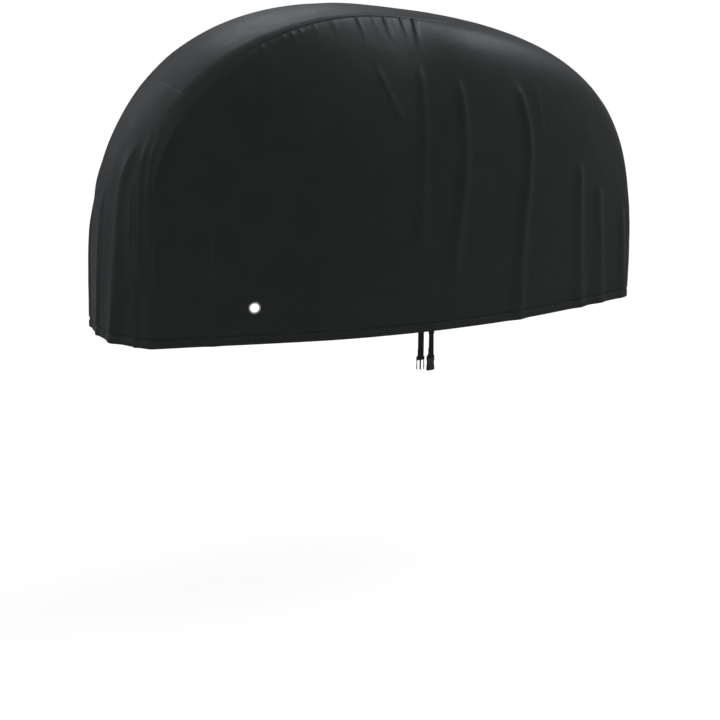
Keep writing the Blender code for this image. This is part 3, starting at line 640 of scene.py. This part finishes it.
# The cloth between its folds, as (height, size of a bump, seed): a broad sag, ripples, and the drags
# that its seams pull
SAG, RIPPLE, SEAM_DRAG = (0.0010, 0.16, 5), (0.0003, 0.045, 8), (0.0006, 0.017, 11)
DRAG_REACH, DRAG_LEAN = 0.020, 0.4
HEM_SEED = 21
BELOW_TOP_SEAM, FROM_END_SEAMS = 0.10, 0.05  # from the seams: folds and sag are full past these
RIPPLE_START = 0.02  # from the seams: ripples are full past this
STITCHED = 0.008  # from the seams: nothing stands out at the stitches, and everything past this
EYELET_FLAT = (0.10, 0.19)  # from the eyelet: the cloth is flat within the first, free past the second
EYELET_HOLE = 0.0169  # radius of the hole in the cloth
CUFF = 0.0016  # how far the mount's face stands off the cloth
TUCKS, TUCK_HEIGHT = 9, 0.0005  # small folds round an eyelet, where it is pressed on
TUCK_START, TUCK_RISE, TUCK_REACH = 0.018, 0.006, 0.008  # from its centre, then outwards


def eyelet_place(word):
    """Centre of an eyelet on the cloth's outer face, with its height from the hem, and its axis."""
    mount = next(m for m in frame["record"]["mounts"] if m["name"] == "lock_eyelet_" + word)
    axis = unit(np.array(mount["axis"], float))
    low, high = (np.array(corner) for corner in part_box("eyelet_" + word))
    centre = (low + high) / 2
    centre += ((np.array(mount["pos_m"]) - centre) @ axis - CUFF) * axis
    return centre - (0, 0, hem_height), axis


stitch_paths = []
panels = {}
for side, word, folds, puckers in (
    (LEFT, "left", LEFT_FOLDS, LEFT_PUCKERS),
    (RIGHT, "right", RIGHT_FOLDS, RIGHT_PUCKERS),
):
    bare = bare_panel * (1, side, 1)
    normals = normals_of(bare, side)
    above, along = along_rows(bare, 0), along_rows(bare, 1)
    below, behind = above[-1] - above, along[:, -1:] - along
    edge = np.minimum(np.minimum(below, along), behind)
    off_front = smooth_step(along / FROM_END_SEAMS)
    off_seam = smooth_step(below / BELOW_TOP_SEAM) * off_front * smooth_step(behind / FROM_END_SEAMS)
    off_stitches = smooth_step(edge / STITCHED)
    height = fold_height(bare[..., 0], bare[..., 2], folds) * off_seam
    height += pucker_height(bare[..., 0], below, puckers) * off_stitches * off_front
    height += uneven(along, above, SAG, side) * off_seam
    height += uneven(along, above, RIPPLE, side) * smooth_step(edge / RIPPLE_START)
    drag = uneven(along - DRAG_LEAN * below, edge * 0, SEAM_DRAG, side)
    height += drag * np.exp(-edge / DRAG_REACH) * off_stitches
    outer = bare + normals * height[..., None]
    centre, axis = eyelet_place(word)
    gap = np.linalg.norm(outer - centre, axis=-1)
    weight = 1 - smooth_step((gap - EYELET_FLAT[0]) / (EYELET_FLAT[1] - EYELET_FLAT[0]))
    outer = outer - (weight * ((outer - centre) @ axis))[..., None] * axis
    off = outer - centre
    tuck = TUCK_HEIGHT * np.cos(TUCKS * np.arctan2(off[..., 2], off[..., 0]))
    tuck *= np.exp(-np.clip(gap - EYELET_HOLE, 0, None) / TUCK_REACH)
    tuck *= smooth_step((gap - TUCK_START) / TUCK_RISE)
    hemmed = (hem_shape(above, along, HEM_SEED + side) + tuck) * off_stitches
    outer = outer + normals * hemmed[..., None]
    edges = [
        seam_edge(distance, np.broadcast_to(arc, below.shape), side, PANEL_TURN)
        for distance, arc in ((below, top_arc), (along, front_arc[:, None]), (behind, rear_arc[:, None]))
    ]
    outer = turn_edges(outer, edges)
    uv = np.stack([along, above], -1)
    panel = cloth_piece("panel_" + word, outer, side, cloth_wall(above), uv, (centre, axis, EYELET_HOLE))
    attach(panel, "root")
    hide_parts("side_panel_" + word)
    panels[side] = outer
    stitch_paths.append(outer[STITCH_ROW])

# ----------------------------------------------------------
# Gusset
# The strip over the front wheel, handlebars, saddle and rear wheel, of the same cloth. It is sewn
# together from two pieces at the handlebars, arches between its seams and is hemmed at both ends.

# Folds that hang in the gusset, as ridges. crest runs from the top down as (across, z), where across
# goes from -1 at the left seam to 1. The side towards the left seam is the steep one.
CrossFoldRow = namedtuple("CrossFoldRow", "crest height width")
FRONT_FOLDS = [CrossFoldRow(*row) for row in (
    (((-0.89, 0.740), (-0.94, 0.600), (-0.98, 0.340)), 0.0070, 0.060),
    (((-0.77, 0.690), (-0.86, 0.580), (-0.91, 0.420), (-0.93, 0.180)), 0.0165, 0.085),
    (((-0.76, 0.610), (-0.80, 0.440), (-0.81, 0.140)), 0.0135, 0.075),
    (((-0.84, 0.400), (-0.86, 0.180), (-0.88, 0.000)), 0.0105, 0.060),
    (((-0.60, 0.670), (-0.68, 0.450), (-0.68, 0.300), (-0.62, 0.000)), 0.0220, 0.210),
    (((-0.17, 0.540), (-0.26, 0.300), (-0.20, 0.000)), 0.0080, 0.130),
    (((0.26, 0.480), (0.24, 0.240), (0.24, 0.000)), 0.0080, 0.150),
    (((0.60, 0.600), (0.65, 0.330), (0.62, 0.000)), 0.0120, 0.170),
    (((0.84, 0.560), (0.87, 0.300), (0.88, 0.080)), 0.0070, 0.080),
)]
REAR_FOLDS = [CrossFoldRow(*row) for row in (
    (((-0.44, 0.500), (-0.47, 0.250), (-0.47, 0.000)), 0.0090, 0.200),
    (((0.06, 0.380), (0.03, 0.200), (0.02, 0.000)), 0.0090, 0.180),
    (((0.50, 0.450), (0.54, 0.220), (0.56, 0.000)), 0.0085, 0.180),
)]
STEEP_SIDE = 0.5  # a gusset fold's steep side, as a share of its width
GUSSET_FOLD_RISE = 0.14  # height over which a fold reaches its full size
GUSSET_EDGE_SHARE = 0.08  # folds die away over this share of the half width, next to the seams
GUSSET_SAG, GUSSET_RIPPLE, GUSSET_DRAG = (0.0012, 0.14, 41), (0.0004, 0.05, 42), (0.0009, 0.021, 43)
GUSSET_DRAG_REACH, GUSSET_HEM_SEED = 0.025, 44
GUSSET_SAG_START = 0.10  # from the seams: the sag is full past this


def gusset_folds(x, z, across):
    """How far the gusset's folds stand out at these places."""
    height = np.zeros_like(x)
    for folds, end in ((FRONT_FOLDS, x < 0), (REAR_FOLDS, x > 0)):
        for fold in folds:
            centre, full = fold_crest(fold, z, GUSSET_FOLD_RISE)
            height += full * end * ridge((centre - across) / fold.width, STEEP_SIDE)
    return height * smooth_step((1 - np.abs(across)) / GUSSET_EDGE_SHARE)


seam_x, seam_z, _, _ = seam_at(place)
gusset = gusset_points(place, across, gusset_folds(seam_x, seam_z, across))
from_left = along_rows(bare_gusset, 1)
from_right = from_left[:, -1:] - from_left
edge = np.minimum(from_left, from_right)
off_stitches = smooth_step(edge / STITCHED)
height = uneven(from_left, place, GUSSET_SAG, 0) * smooth_step(edge / GUSSET_SAG_START)
height += uneven(from_left, place, GUSSET_RIPPLE, 0) * smooth_step(edge / RIPPLE_START)
height += uneven(place, edge * 0, GUSSET_DRAG, 0) * np.exp(-edge / GUSSET_DRAG_REACH) * off_stitches
to_hem = np.minimum(place, seam_length - place)
height += hem_shape(to_hem, from_left, GUSSET_HEM_SEED) * off_stitches
gusset = gusset + normals_of(gusset, RIGHT) * height[..., None]
middle = across * seam_at(place)[2]
cross_row = int(np.argmin(np.abs(place[:, 0] - CROSS_SEAM)))
cross_normal = normals_of(bare_gusset, RIGHT)[cross_row]
for name, rows, hem_row in (
    ("gusset_front", np.s_[: cross_row + 1], STITCH_ROW),
    ("gusset_top", np.s_[cross_row:], -1 - STITCH_ROW),
):
    sides = [
        seam_edge(distance[rows], place[rows], side, GUSSET_TURN)
        for distance, side in ((from_left, LEFT), (from_right, RIGHT))
    ]
    outer = turn_edges(gusset[rows], sides)
    off_cross = np.abs(place - CROSS_SEAM)[rows]
    groove = CROSS_GROOVE * np.clip(1 - off_cross / GUSSET_TURN, 0, 1) ** 2
    outer = outer - groove[..., None] * cross_normal
    uv = np.stack([middle[rows], place[rows]], -1)
    piece = cloth_piece(name + "_cloth", outer, RIGHT, cloth_wall(to_hem[rows]), uv)
    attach(piece, "root")
    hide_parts(name)
    wide, long = float(along_rows(outer, 1).max()), float(np.ptp(place[rows]))
    stitch_paths.append(outer[hem_row])

# ----------------------------------------------------------
# Eyelets
# Pressed nickel-plated rings, one low in each side panel for a lock's cable. Each is a rolled ring
# outside and a flat washer inside, joined by a barrel through the cloth.

EYELET_BARREL = 0.0155  # radius of the hole
EYELET_RIM = 0.0205  # radius of the ring
RING_HEIGHT, RING_FULLNESS = 0.0020, 0.8  # off the cloth, and how full its section is, as a power
RING_GAP = 0.0002  # between the ring or the washer and the cloth
RING_STEPS = 14  # round the ring's section
EYELET_WALL = 0.0012  # thickness of the barrel
EYELET_SIDES = 64
EYELET_CREASE = 50
NICKEL_SHADES, NICKEL_ROUGHNESS = (0.82, 0.68), (0.16, 0.30)
DENT_SIZE, DENTS = 0.004, 0.00002  # the size and height of small dents
# The washer's section, as (height above its upper face, radius)
WASHER = (
    (-0.0010, EYELET_BARREL),
    (-0.0012, EYELET_BARREL + 0.0004),
    (-0.0010, EYELET_RIM - 0.0005),
    (-0.0004, EYELET_RIM),
    (0.0, EYELET_RIM),
    (0.0, EYELET_BARREL + EYELET_WALL),
)


def eyelet_section():
    """The section of an eyelet, as (height off the cloth, radius), once round."""
    middle, half = (EYELET_BARREL + EYELET_RIM) / 2, (EYELET_RIM - EYELET_BARREL) / 2
    section = []
    for step in range(RING_STEPS + 1):
        turn = math.pi * step / RING_STEPS
        high = RING_HEIGHT * math.sin(turn) ** RING_FULLNESS
        section.append((RING_GAP + high, middle + half * math.cos(turn)))
    section += [(high - CLOTH - RING_GAP, radius) for high, radius in WASHER]
    section.append((RING_GAP, EYELET_BARREL + EYELET_WALL))
    return section


def tube_faces(index):
    """Faces between the rows of a grid of point numbers, where each row is a closed loop."""
    beside = np.roll(index, -1, axis=1)
    return np.stack([index[:-1], beside[:-1], beside[1:], index[1:]], -1).reshape(-1, 4).tolist()


def plain_finish(name, shades, roughness, size, height, **kind):
    """A material of one colour, with marks of use and dents of this size and height."""
    made, tree, shader = add_finish(name, **kind)
    marks = add_marks(tree, size)
    relief = maths(tree, "MULTIPLY", marks["Crumple"], height)
    shade = grey(tree, mixed(tree, marks["Dust"], *shades))
    set_looks(tree, shader, shade, mixed(tree, marks["Dust"], *roughness), relief)
    return made


def turned(name, section, centre, axis):
    """A closed ring of nickel: a section turned round an axis through centre."""
    high, radius = np.array(section).T
    turn = np.linspace(0, 2 * math.pi, EYELET_SIDES, endpoint=False)[:, None]
    points = np.stack([radius * np.cos(turn), radius * np.sin(turn), high + turn * 0], -1)
    index = np.arange(points[..., 0].size).reshape(points.shape[:2])
    way = np.array(Vector((0, 0, 1)).rotation_difference(Vector(axis)).to_matrix())
    points = points.reshape(-1, 3) @ way.T + centre + (0, 0, hem_height)
    faces = tube_faces(np.r_[index, index[:1]][::-1])
    return add_piece(name, points, faces, EYELET_CREASE, nickel)


nickel = plain_finish("nickel_plate", NICKEL_SHADES, NICKEL_ROUGHNESS, DENT_SIZE, DENTS, metallic=1.0)

for word in ("left", "right"):
    ring = turned("ring_" + word, eyelet_section(), *eyelet_place(word))
    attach(ring, "root")
    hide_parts("eyelet_" + word)

# ----------------------------------------------------------
# Straps
# Two lengths of black polyester webbing, sewn inside the left hem with a box of stitches. Each hangs
# to the bar of a buckle half, turns round it and is sewn to itself again.

STRAP_WIDTH = 0.022
STRAP_THICKNESS = 0.0015
STRAP_SEWN = 0.040  # height of the sewn end above the hem
STRAP_TAIL = 0.030  # length of the end that is folded back
TURN_DROP = 0.015  # below the hem, where a strap's own turn is reached
TAIL_MEETS = 0.012  # above the bar, where the folded end meets the strap again
LOOP_RADIUS = 0.0023  # inside of the strap's turn round the bar
TAIL_GAP = 0.0004  # between the strap and its folded end
STRAP_STEP = 0.0025  # between rows of points down a strap
STRAP_ACROSS, STRAP_EDGE, STRAP_TURN = 10, 5, 17  # faces across, points round an edge and the bar
STRAP_CREASE = 50
WEBBING_GAP_SHADE_AND_TOP, WEBBING_DUST = (0.016, 0.028), 0.005  # painted shade between the threads and the colour on top of them, and what dust adds
WEBBING_ROUGHNESS = (0.72, 0.85)
WEBBING_THREAD, WEBBING_HEIGHT = 0.0012, 0.00025
StrapRow = namedtuple("StrapRow", "half x bar_z turn_top turn_low")
STRAPS = [StrapRow(*row) for row in (
    ("plug", -0.008, -0.090, 0.0, 0.0),
    ("socket", 0.031, -0.090, 20.0, 12.0),
)]


def strap_path(bar_z):
    """The middle line of a strap as (distance inwards, height): down, round the bar and back up."""
    turn = LOOP_RADIUS + STRAP_THICKNESS / 2
    path = [(0.0, STRAP_SEWN), (0.0, bar_z)]
    angles = np.linspace(0, math.pi, STRAP_TURN)[1:]
    path += [(turn - turn * math.cos(a), bar_z - turn * math.sin(a)) for a in angles]
    beside = STRAP_THICKNESS + TAIL_GAP
    path += [((beside + 2 * turn) / 2, bar_z + TAIL_MEETS / 2), (beside, bar_z + TAIL_MEETS)]
    path.append((beside, bar_z + STRAP_TAIL))
    path = np.array(path)
    reach = along_rows(path, 0)
    at = np.linspace(0, reach[-1], int(reach[-1] / STRAP_STEP) + 1)
    at = np.unique(np.r_[at, reach[1:-3]])
    return between_rows(at, reach, path), at


def strap_places(row, wall, inwards, u, z):
    """Points in the frame of places on a strap: inwards from its outer face's plane and u across."""
    below = smooth_step(-z / TURN_DROP)
    more = (row.turn_low - row.turn_top) * smooth_step(z / row.bar_z)
    turn = np.radians(below * (row.turn_top + more))
    x = row.x + u * np.cos(turn) - inwards * np.sin(turn)
    y = wall + u * np.sin(turn) + inwards * np.cos(turn)
    return np.stack([x, y, z + hem_height], -1)


def strap_mesh(name, row, wall):
    """A flat strap with rounded edges, and its length."""
    path, reach = strap_path(row.bar_z)
    across = unit(np.gradient(path, axis=0))[:, ::-1] * (1, -1)
    half, thick = STRAP_WIDTH / 2, STRAP_THICKNESS / 2
    flat = np.linspace(-1, 1, STRAP_ACROSS + 1) * (half - thick)
    side = np.linspace(0, math.pi, STRAP_EDGE)[1:-1]
    loop_u = np.r_[flat, half - thick + thick * np.sin(side)]
    loop_v = np.r_[flat * 0 - thick, -thick * np.cos(side)]
    loop_u, loop_v = np.r_[loop_u, -loop_u], np.r_[loop_v, -loop_v]
    inwards = path[:, :1] + across[:, :1] * loop_v
    z = path[:, 1:] + across[:, 1:] * loop_v
    points = strap_places(row, wall, inwards, loop_u, z).reshape(-1, 3)
    index = np.arange(len(points)).reshape(z.shape)
    faces = tube_faces(index) + [index[0, ::-1].tolist(), index[-1].tolist()]
    uv = np.stack(np.broadcast_arrays(loop_u, reach[:, None]), -1).reshape(-1, 2)
    return add_piece(name, points, faces, STRAP_CREASE, webbing, uv), float(reach[-1])


webbing, tree, shader = add_finish("webbing", specular=0.3)
marks = add_marks(tree, CRUMPLE_SIZE)
threads = add_threads(tree, WEBBING_THREAD)
# The webbing is painted darker between its threads, as shade in the weave's hollows, and lighter on top of
# them
shade = maths(tree, "MULTIPLY_ADD", marks["Dust"], WEBBING_DUST, mixed(tree, threads, *WEBBING_GAP_SHADE_AND_TOP))
height = maths(tree, "MULTIPLY", threads, WEBBING_HEIGHT)
set_looks(tree, shader, grey(tree, shade), mixed(tree, marks["Dust"], *WEBBING_ROUGHNESS), height)

strap_walls = {}
for row in STRAPS:
    node = "strap_" + row.half
    corners = np.array([corner.co for corner in frame["nodes"][node].data.vertices])
    wall = corners[corners[:, 2] > hem_height + STRAP_SEWN - STRAP_STEP, 1].mean()
    strap_walls[row.half] = wall
    strap, length = strap_mesh("webbing_" + row.half, row, wall)
    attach(strap, "root")
    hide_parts(node)

# ----------------------------------------------------------
# Buckle
# A side-release buckle of black moulded nylon, open: the plug on the front strap and the socket on
# the rear one. Its edges are slightly rounded and its faces have a fine matt grain.

BUCKLE_EDGE, EDGE_FACES = 0.0005, 2  # radius of the rounded edges, and faces round one
BUCKLE_SHARP, BUCKLE_CREASE = 30, 35  # degrees, from which an edge is rounded, or stays sharp
SAME_POINT, SAME_PLANE = 0.000001, 0.01  # in metres and radians, where the moulding's faces join
NYLON_SHADES, NYLON_ROUGHNESS = (0.037, 0.046), (0.38, 0.50)
GRAIN_SIZE, GRAIN_HEIGHT = 0.0006, 0.00004

nylon = plain_finish("buckle_plastic", NYLON_SHADES, NYLON_ROUGHNESS, GRAIN_SIZE, GRAIN_HEIGHT)
for half in ("plug", "socket"):
    made = add_object(half + "_moulding", frame["nodes"]["buckle_" + half].data.copy())
    build = bmesh.new()
    build.from_mesh(made.data)
    bmesh.ops.remove_doubles(build, verts=build.verts, dist=SAME_POINT)
    bmesh.ops.dissolve_limit(build, angle_limit=SAME_PLANE, verts=build.verts, edges=build.edges)
    sharp = [edge for edge in build.edges if edge.calc_face_angle(0) > math.radians(BUCKLE_SHARP)]
    rounding = {"offset": BUCKLE_EDGE, "offset_type": "OFFSET", "segments": EDGE_FACES, "profile": 0.5}
    bmesh.ops.bevel(build, geom=sharp, affect="EDGES", clamp_overlap=True, **rounding)
    build.to_mesh(made.data)
    build.free()
    made.data.shade_smooth()
    made.data.set_sharp_from_angle(angle=math.radians(BUCKLE_CREASE))
    made.data.materials.clear()
    made.data.materials.append(nylon)
    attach(made, "root")
    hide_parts("buckle_" + half)

# ----------------------------------------------------------
# Stitches
# Black polyester thread: a lockstitch along the hem of each piece, and boxes that hold the straps
# and their folded ends.

STITCH_PITCH, STITCH_LENGTH, THREAD_RADIUS = 0.0050, 0.0040, 0.00035
STITCH_SHIFT, STITCH_SEED = 0.00025, 7  # how far a stitch lies from its place at most
BOX_HALF, BOX_LOW, BOX_HIGH = 0.009, 0.006, 0.026  # of a strap's box, outside on the hem
BOX_STEPS, BOX_OUT = 8, 0.0002  # points on each side of a box, and how far they stand out
ROW_STEPS, ROW_PLACES = 6, (TAIL_MEETS + 0.003, STRAP_TAIL - 0.004)  # across a folded end
THREAD_SHADES, THREAD_ROUGHNESS = (0.016, 0.024), (0.50, 0.65)


def stitch_tree():
    """Geometry nodes that lay a row of stitches along every path in a mesh of edges."""
    tree = bpy.data.node_groups.new("stitches", "GeometryNodeTree")
    sockets = {}
    for label, kind, value in (
        ("Paths", "NodeSocketGeometry", None),
        ("Pitch", "NodeSocketFloat", STITCH_PITCH),
        ("Length", "NodeSocketFloat", STITCH_LENGTH),
        ("Thread Radius", "NodeSocketFloat", THREAD_RADIUS),
        ("Unevenness", "NodeSocketFloat", STITCH_SHIFT),
        ("Seed", "NodeSocketInt", STITCH_SEED),
        ("Thread", "NodeSocketMaterial", None),
    ):
        sockets[label] = tree.interface.new_socket(label, in_out="INPUT", socket_type=kind)
        if value is not None:
            sockets[label].default_value = value
    tree.interface.new_socket("Stitches", in_out="OUTPUT", socket_type="NodeSocketGeometry")
    given = add_node(tree, "NodeGroupInput").outputs
    curve = add_node(tree, "GeometryNodeMeshToCurve", {"Mesh": given["Paths"]}).outputs[0]
    inputs = {"Curve": curve, "Length": given["Pitch"]}
    spots = add_node(tree, "GeometryNodeCurveToPoints", inputs, mode="LENGTH").outputs
    inputs = {"Vector": spots["Tangent"]}
    way = add_node(tree, "FunctionNodeAlignRotationToVector", inputs, axis="Z").outputs[0]
    half = maths(tree, "MULTIPLY", given["Length"], 0.5)
    least = maths(tree, "MULTIPLY", given["Unevenness"], -1.0)
    size, low, high = (
        add_node(tree, "ShaderNodeCombineXYZ", {0: flat, 1: flat, 2: long}).outputs[0]
        for flat, long in (
            (given["Thread Radius"], half),
            (least, least),
            (given["Unevenness"], given["Unevenness"]),
        )
    )
    inputs = {"Min": low, "Max": high, "Seed": given["Seed"]}
    shift = add_node(tree, "FunctionNodeRandomValue", inputs, data_type="FLOAT_VECTOR").outputs[0]
    inputs = {"Geometry": spots["Points"], "Offset": shift}
    moved = add_node(tree, "GeometryNodeSetPosition", inputs).outputs[0]
    inputs = {"Segments": 6, "Rings": 5, "Radius": 1.0}
    shape = add_node(tree, "GeometryNodeMeshUVSphere", inputs).outputs["Mesh"]
    inputs = {"Points": moved, "Instance": shape, "Rotation": way, "Scale": size}
    made = add_node(tree, "GeometryNodeInstanceOnPoints", inputs).outputs[0]
    for kind, inputs in (
        ("GeometryNodeRealizeInstances", {}),
        ("GeometryNodeSetShadeSmooth", {}),
        ("GeometryNodeSetMaterial", {"Material": given["Thread"]}),
    ):
        made = add_node(tree, kind, {"Geometry": made, **inputs}).outputs[0]
    add_node(tree, "NodeGroupOutput", {0: made})
    return tree, sockets


box_rows = panels[LEFT][: len(HEM_ROWS) + 2]
box_corners = [(-1, BOX_LOW), (1, BOX_LOW), (1, BOX_HIGH), (-1, BOX_HIGH), (-1, BOX_LOW)]
box_places = np.arange(0, len(box_corners) - 1, 1 / BOX_STEPS)
for row in STRAPS:
    path = []
    for u, high in between_rows(box_places, range(len(box_corners)), box_corners):
        x = row.x + BOX_HALF * u
        gap = np.abs(box_rows[..., 0] - x) + np.abs(box_rows[..., 2] - high)
        path.append((x, box_rows.reshape(-1, 3)[gap.argmin(), 1] - BOX_OUT, high))
    stitch_paths.append(np.array(path + path[:1]))
    for high in ROW_PLACES:
        u = np.linspace(-BOX_HALF, BOX_HALF, ROW_STEPS)
        places = strap_places(row, strap_walls[row.half], -STRAP_THICKNESS / 2, u, row.bar_z + high + u * 0)
        stitch_paths.append(places - (0, 0, hem_height))

thread, tree, shader = add_finish("thread", specular=0.4)
dust = add_marks(tree, CRUMPLE_SIZE)["Dust"]
set_looks(tree, shader, grey(tree, mixed(tree, dust, *THREAD_SHADES)), mixed(tree, dust, *THREAD_ROUGHNESS))

points, edges = [], []
for path in stitch_paths:
    start = len(points)
    points += (path + (0, 0, hem_height)).tolist()
    edges += [(i, i + 1) for i in range(start, len(points) - 1)]
path_mesh = bpy.data.meshes.new("stitch_paths")
path_mesh.from_pydata(points, edges, [])
paths = add_object("stitch_paths", path_mesh)
tree, sockets = stitch_tree()
change = paths.modifiers.new("stitches", "NODES")
change.node_group = tree
change[sockets["Thread"].identifier] = thread
made = bpy.data.meshes.new_from_object(paths.evaluated_get(bpy.context.evaluated_depsgraph_get()))
paths.modifiers.remove(change)
bpy.data.objects.remove(paths)
stitches = add_object("stitches", made)
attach(stitches, "root")

# ----------------------------------------------------------
# Floor, light and camera
# A plain pale floor well below the cover, and an even dim room with broad soft lights over its rear
# and on its far side. The camera stands on its left, a little towards the front.

FLOOR = ((-9.0, -1.2), (9.0, -1.2), (9.0, 14.0), (-9.0, 14.0))
FLOOR_DROP = 1.0  # below the hem
FLOOR_SHADE = 0.4
FLOOR_GLOW = 0.85  # keeps the floor nearly white to the eye, without lighting the cover

floor_mesh = bpy.data.meshes.new("floor")
floor_mesh.from_pydata([(x, y, hem_height - FLOOR_DROP) for x, y in FLOOR], [], [(0, 1, 2, 3)])
floor = add_object("floor", floor_mesh)
pale, tree, shader = add_finish("pale_floor", specular=0.0)
shader["Base Color"].default_value = (FLOOR_SHADE, FLOOR_SHADE, FLOOR_SHADE, 1)
shader["Roughness"].default_value = 1.0
shader["Emission Color"].default_value = (1, 1, 1, 1)
seen = add_node(tree, "ShaderNodeLightPath").outputs["Is Camera Ray"]
tree.links.new(maths(tree, "MULTIPLY", seen, FLOOR_GLOW), shader["Emission Strength"])
floor_mesh.materials.append(pale)

# The room's even light, and its lights as (direction, edge and middle of the light as cosines from
# that direction, brightness). One of negative brightness darkens its part of the room.
ROOM = 0.27
ROOM_TINT = (0.96, 1.0, 1.05, 1.0)
LIGHTS = (
    ((0.60, 0.00, 0.80), 0.895, 0.995, 2.55),
    ((0.14, 0.80, 0.57), 0.952, 0.995, 1.15),
    ((0.25, 0.96, 0.05), 0.84, 1.00, -0.17),
    ((-0.25, 0.95, -0.16), 0.93, 1.00, -0.13),
    ((-0.30, 0.91, 0.28), 0.95, 1.00, 0.20),
    ((-0.98, 0.06, 0.02), 0.78, 1.00, 0.20),
    ((-0.02, -1.00, 0.00), 0.91, 1.00, -0.16),
)
world = bpy.data.worlds.new("studio")
bpy.context.scene.world = world
world.use_nodes = True
tree = world.node_tree
tree.nodes.clear()
way = add_node(tree, "ShaderNodeTexCoord").outputs["Generated"]
light = add_node(tree, "ShaderNodeValue").outputs[0]
light.default_value = ROOM
for direction, edge, middle, brightness in LIGHTS:
    inputs = {0: way, 1: Vector(direction).normalized()}
    aim = add_node(tree, "ShaderNodeVectorMath", inputs, operation="DOT_PRODUCT").outputs["Value"]
    inputs = {0: aim, 1: edge, 2: middle, 4: brightness}
    spread = add_node(tree, "ShaderNodeMapRange", inputs, interpolation_type="SMOOTHSTEP").outputs[0]
    light = maths(tree, "ADD", light, spread)
seen = add_node(tree, "ShaderNodeLightPath").outputs["Is Camera Ray"]
strength = add_node(tree, "ShaderNodeMix", {0: seen, 2: light, 3: 1.0}).outputs[0]
inputs = {0: seen, 6: ROOM_TINT, 7: (1, 1, 1, 1)}
tint = add_node(tree, "ShaderNodeMix", inputs, data_type="RGBA").outputs[2]
air = add_node(tree, "ShaderNodeBackground", {"Color": tint, "Strength": strength})
add_node(tree, "ShaderNodeOutputWorld", {0: air.outputs[0]})

CAMERA_PLACE = (-1.762, -4.361, 1.185)  # with its height from the hem
CAMERA_TURN = (73.5, 0.0, -21.094)
LENS, SENSOR = 65.91, 36.0  # in millimetres

camera = add_object("camera", bpy.data.cameras.new("camera"))
camera.data.lens, camera.data.sensor_width = LENS, SENSOR
camera.location = Vector(CAMERA_PLACE) + Vector((0, 0, hem_height))
camera.rotation_euler = [math.radians(angle) for angle in CAMERA_TURN]
bpy.context.scene.camera = camera
bpy.context.scene.view_settings.view_transform = "Standard"
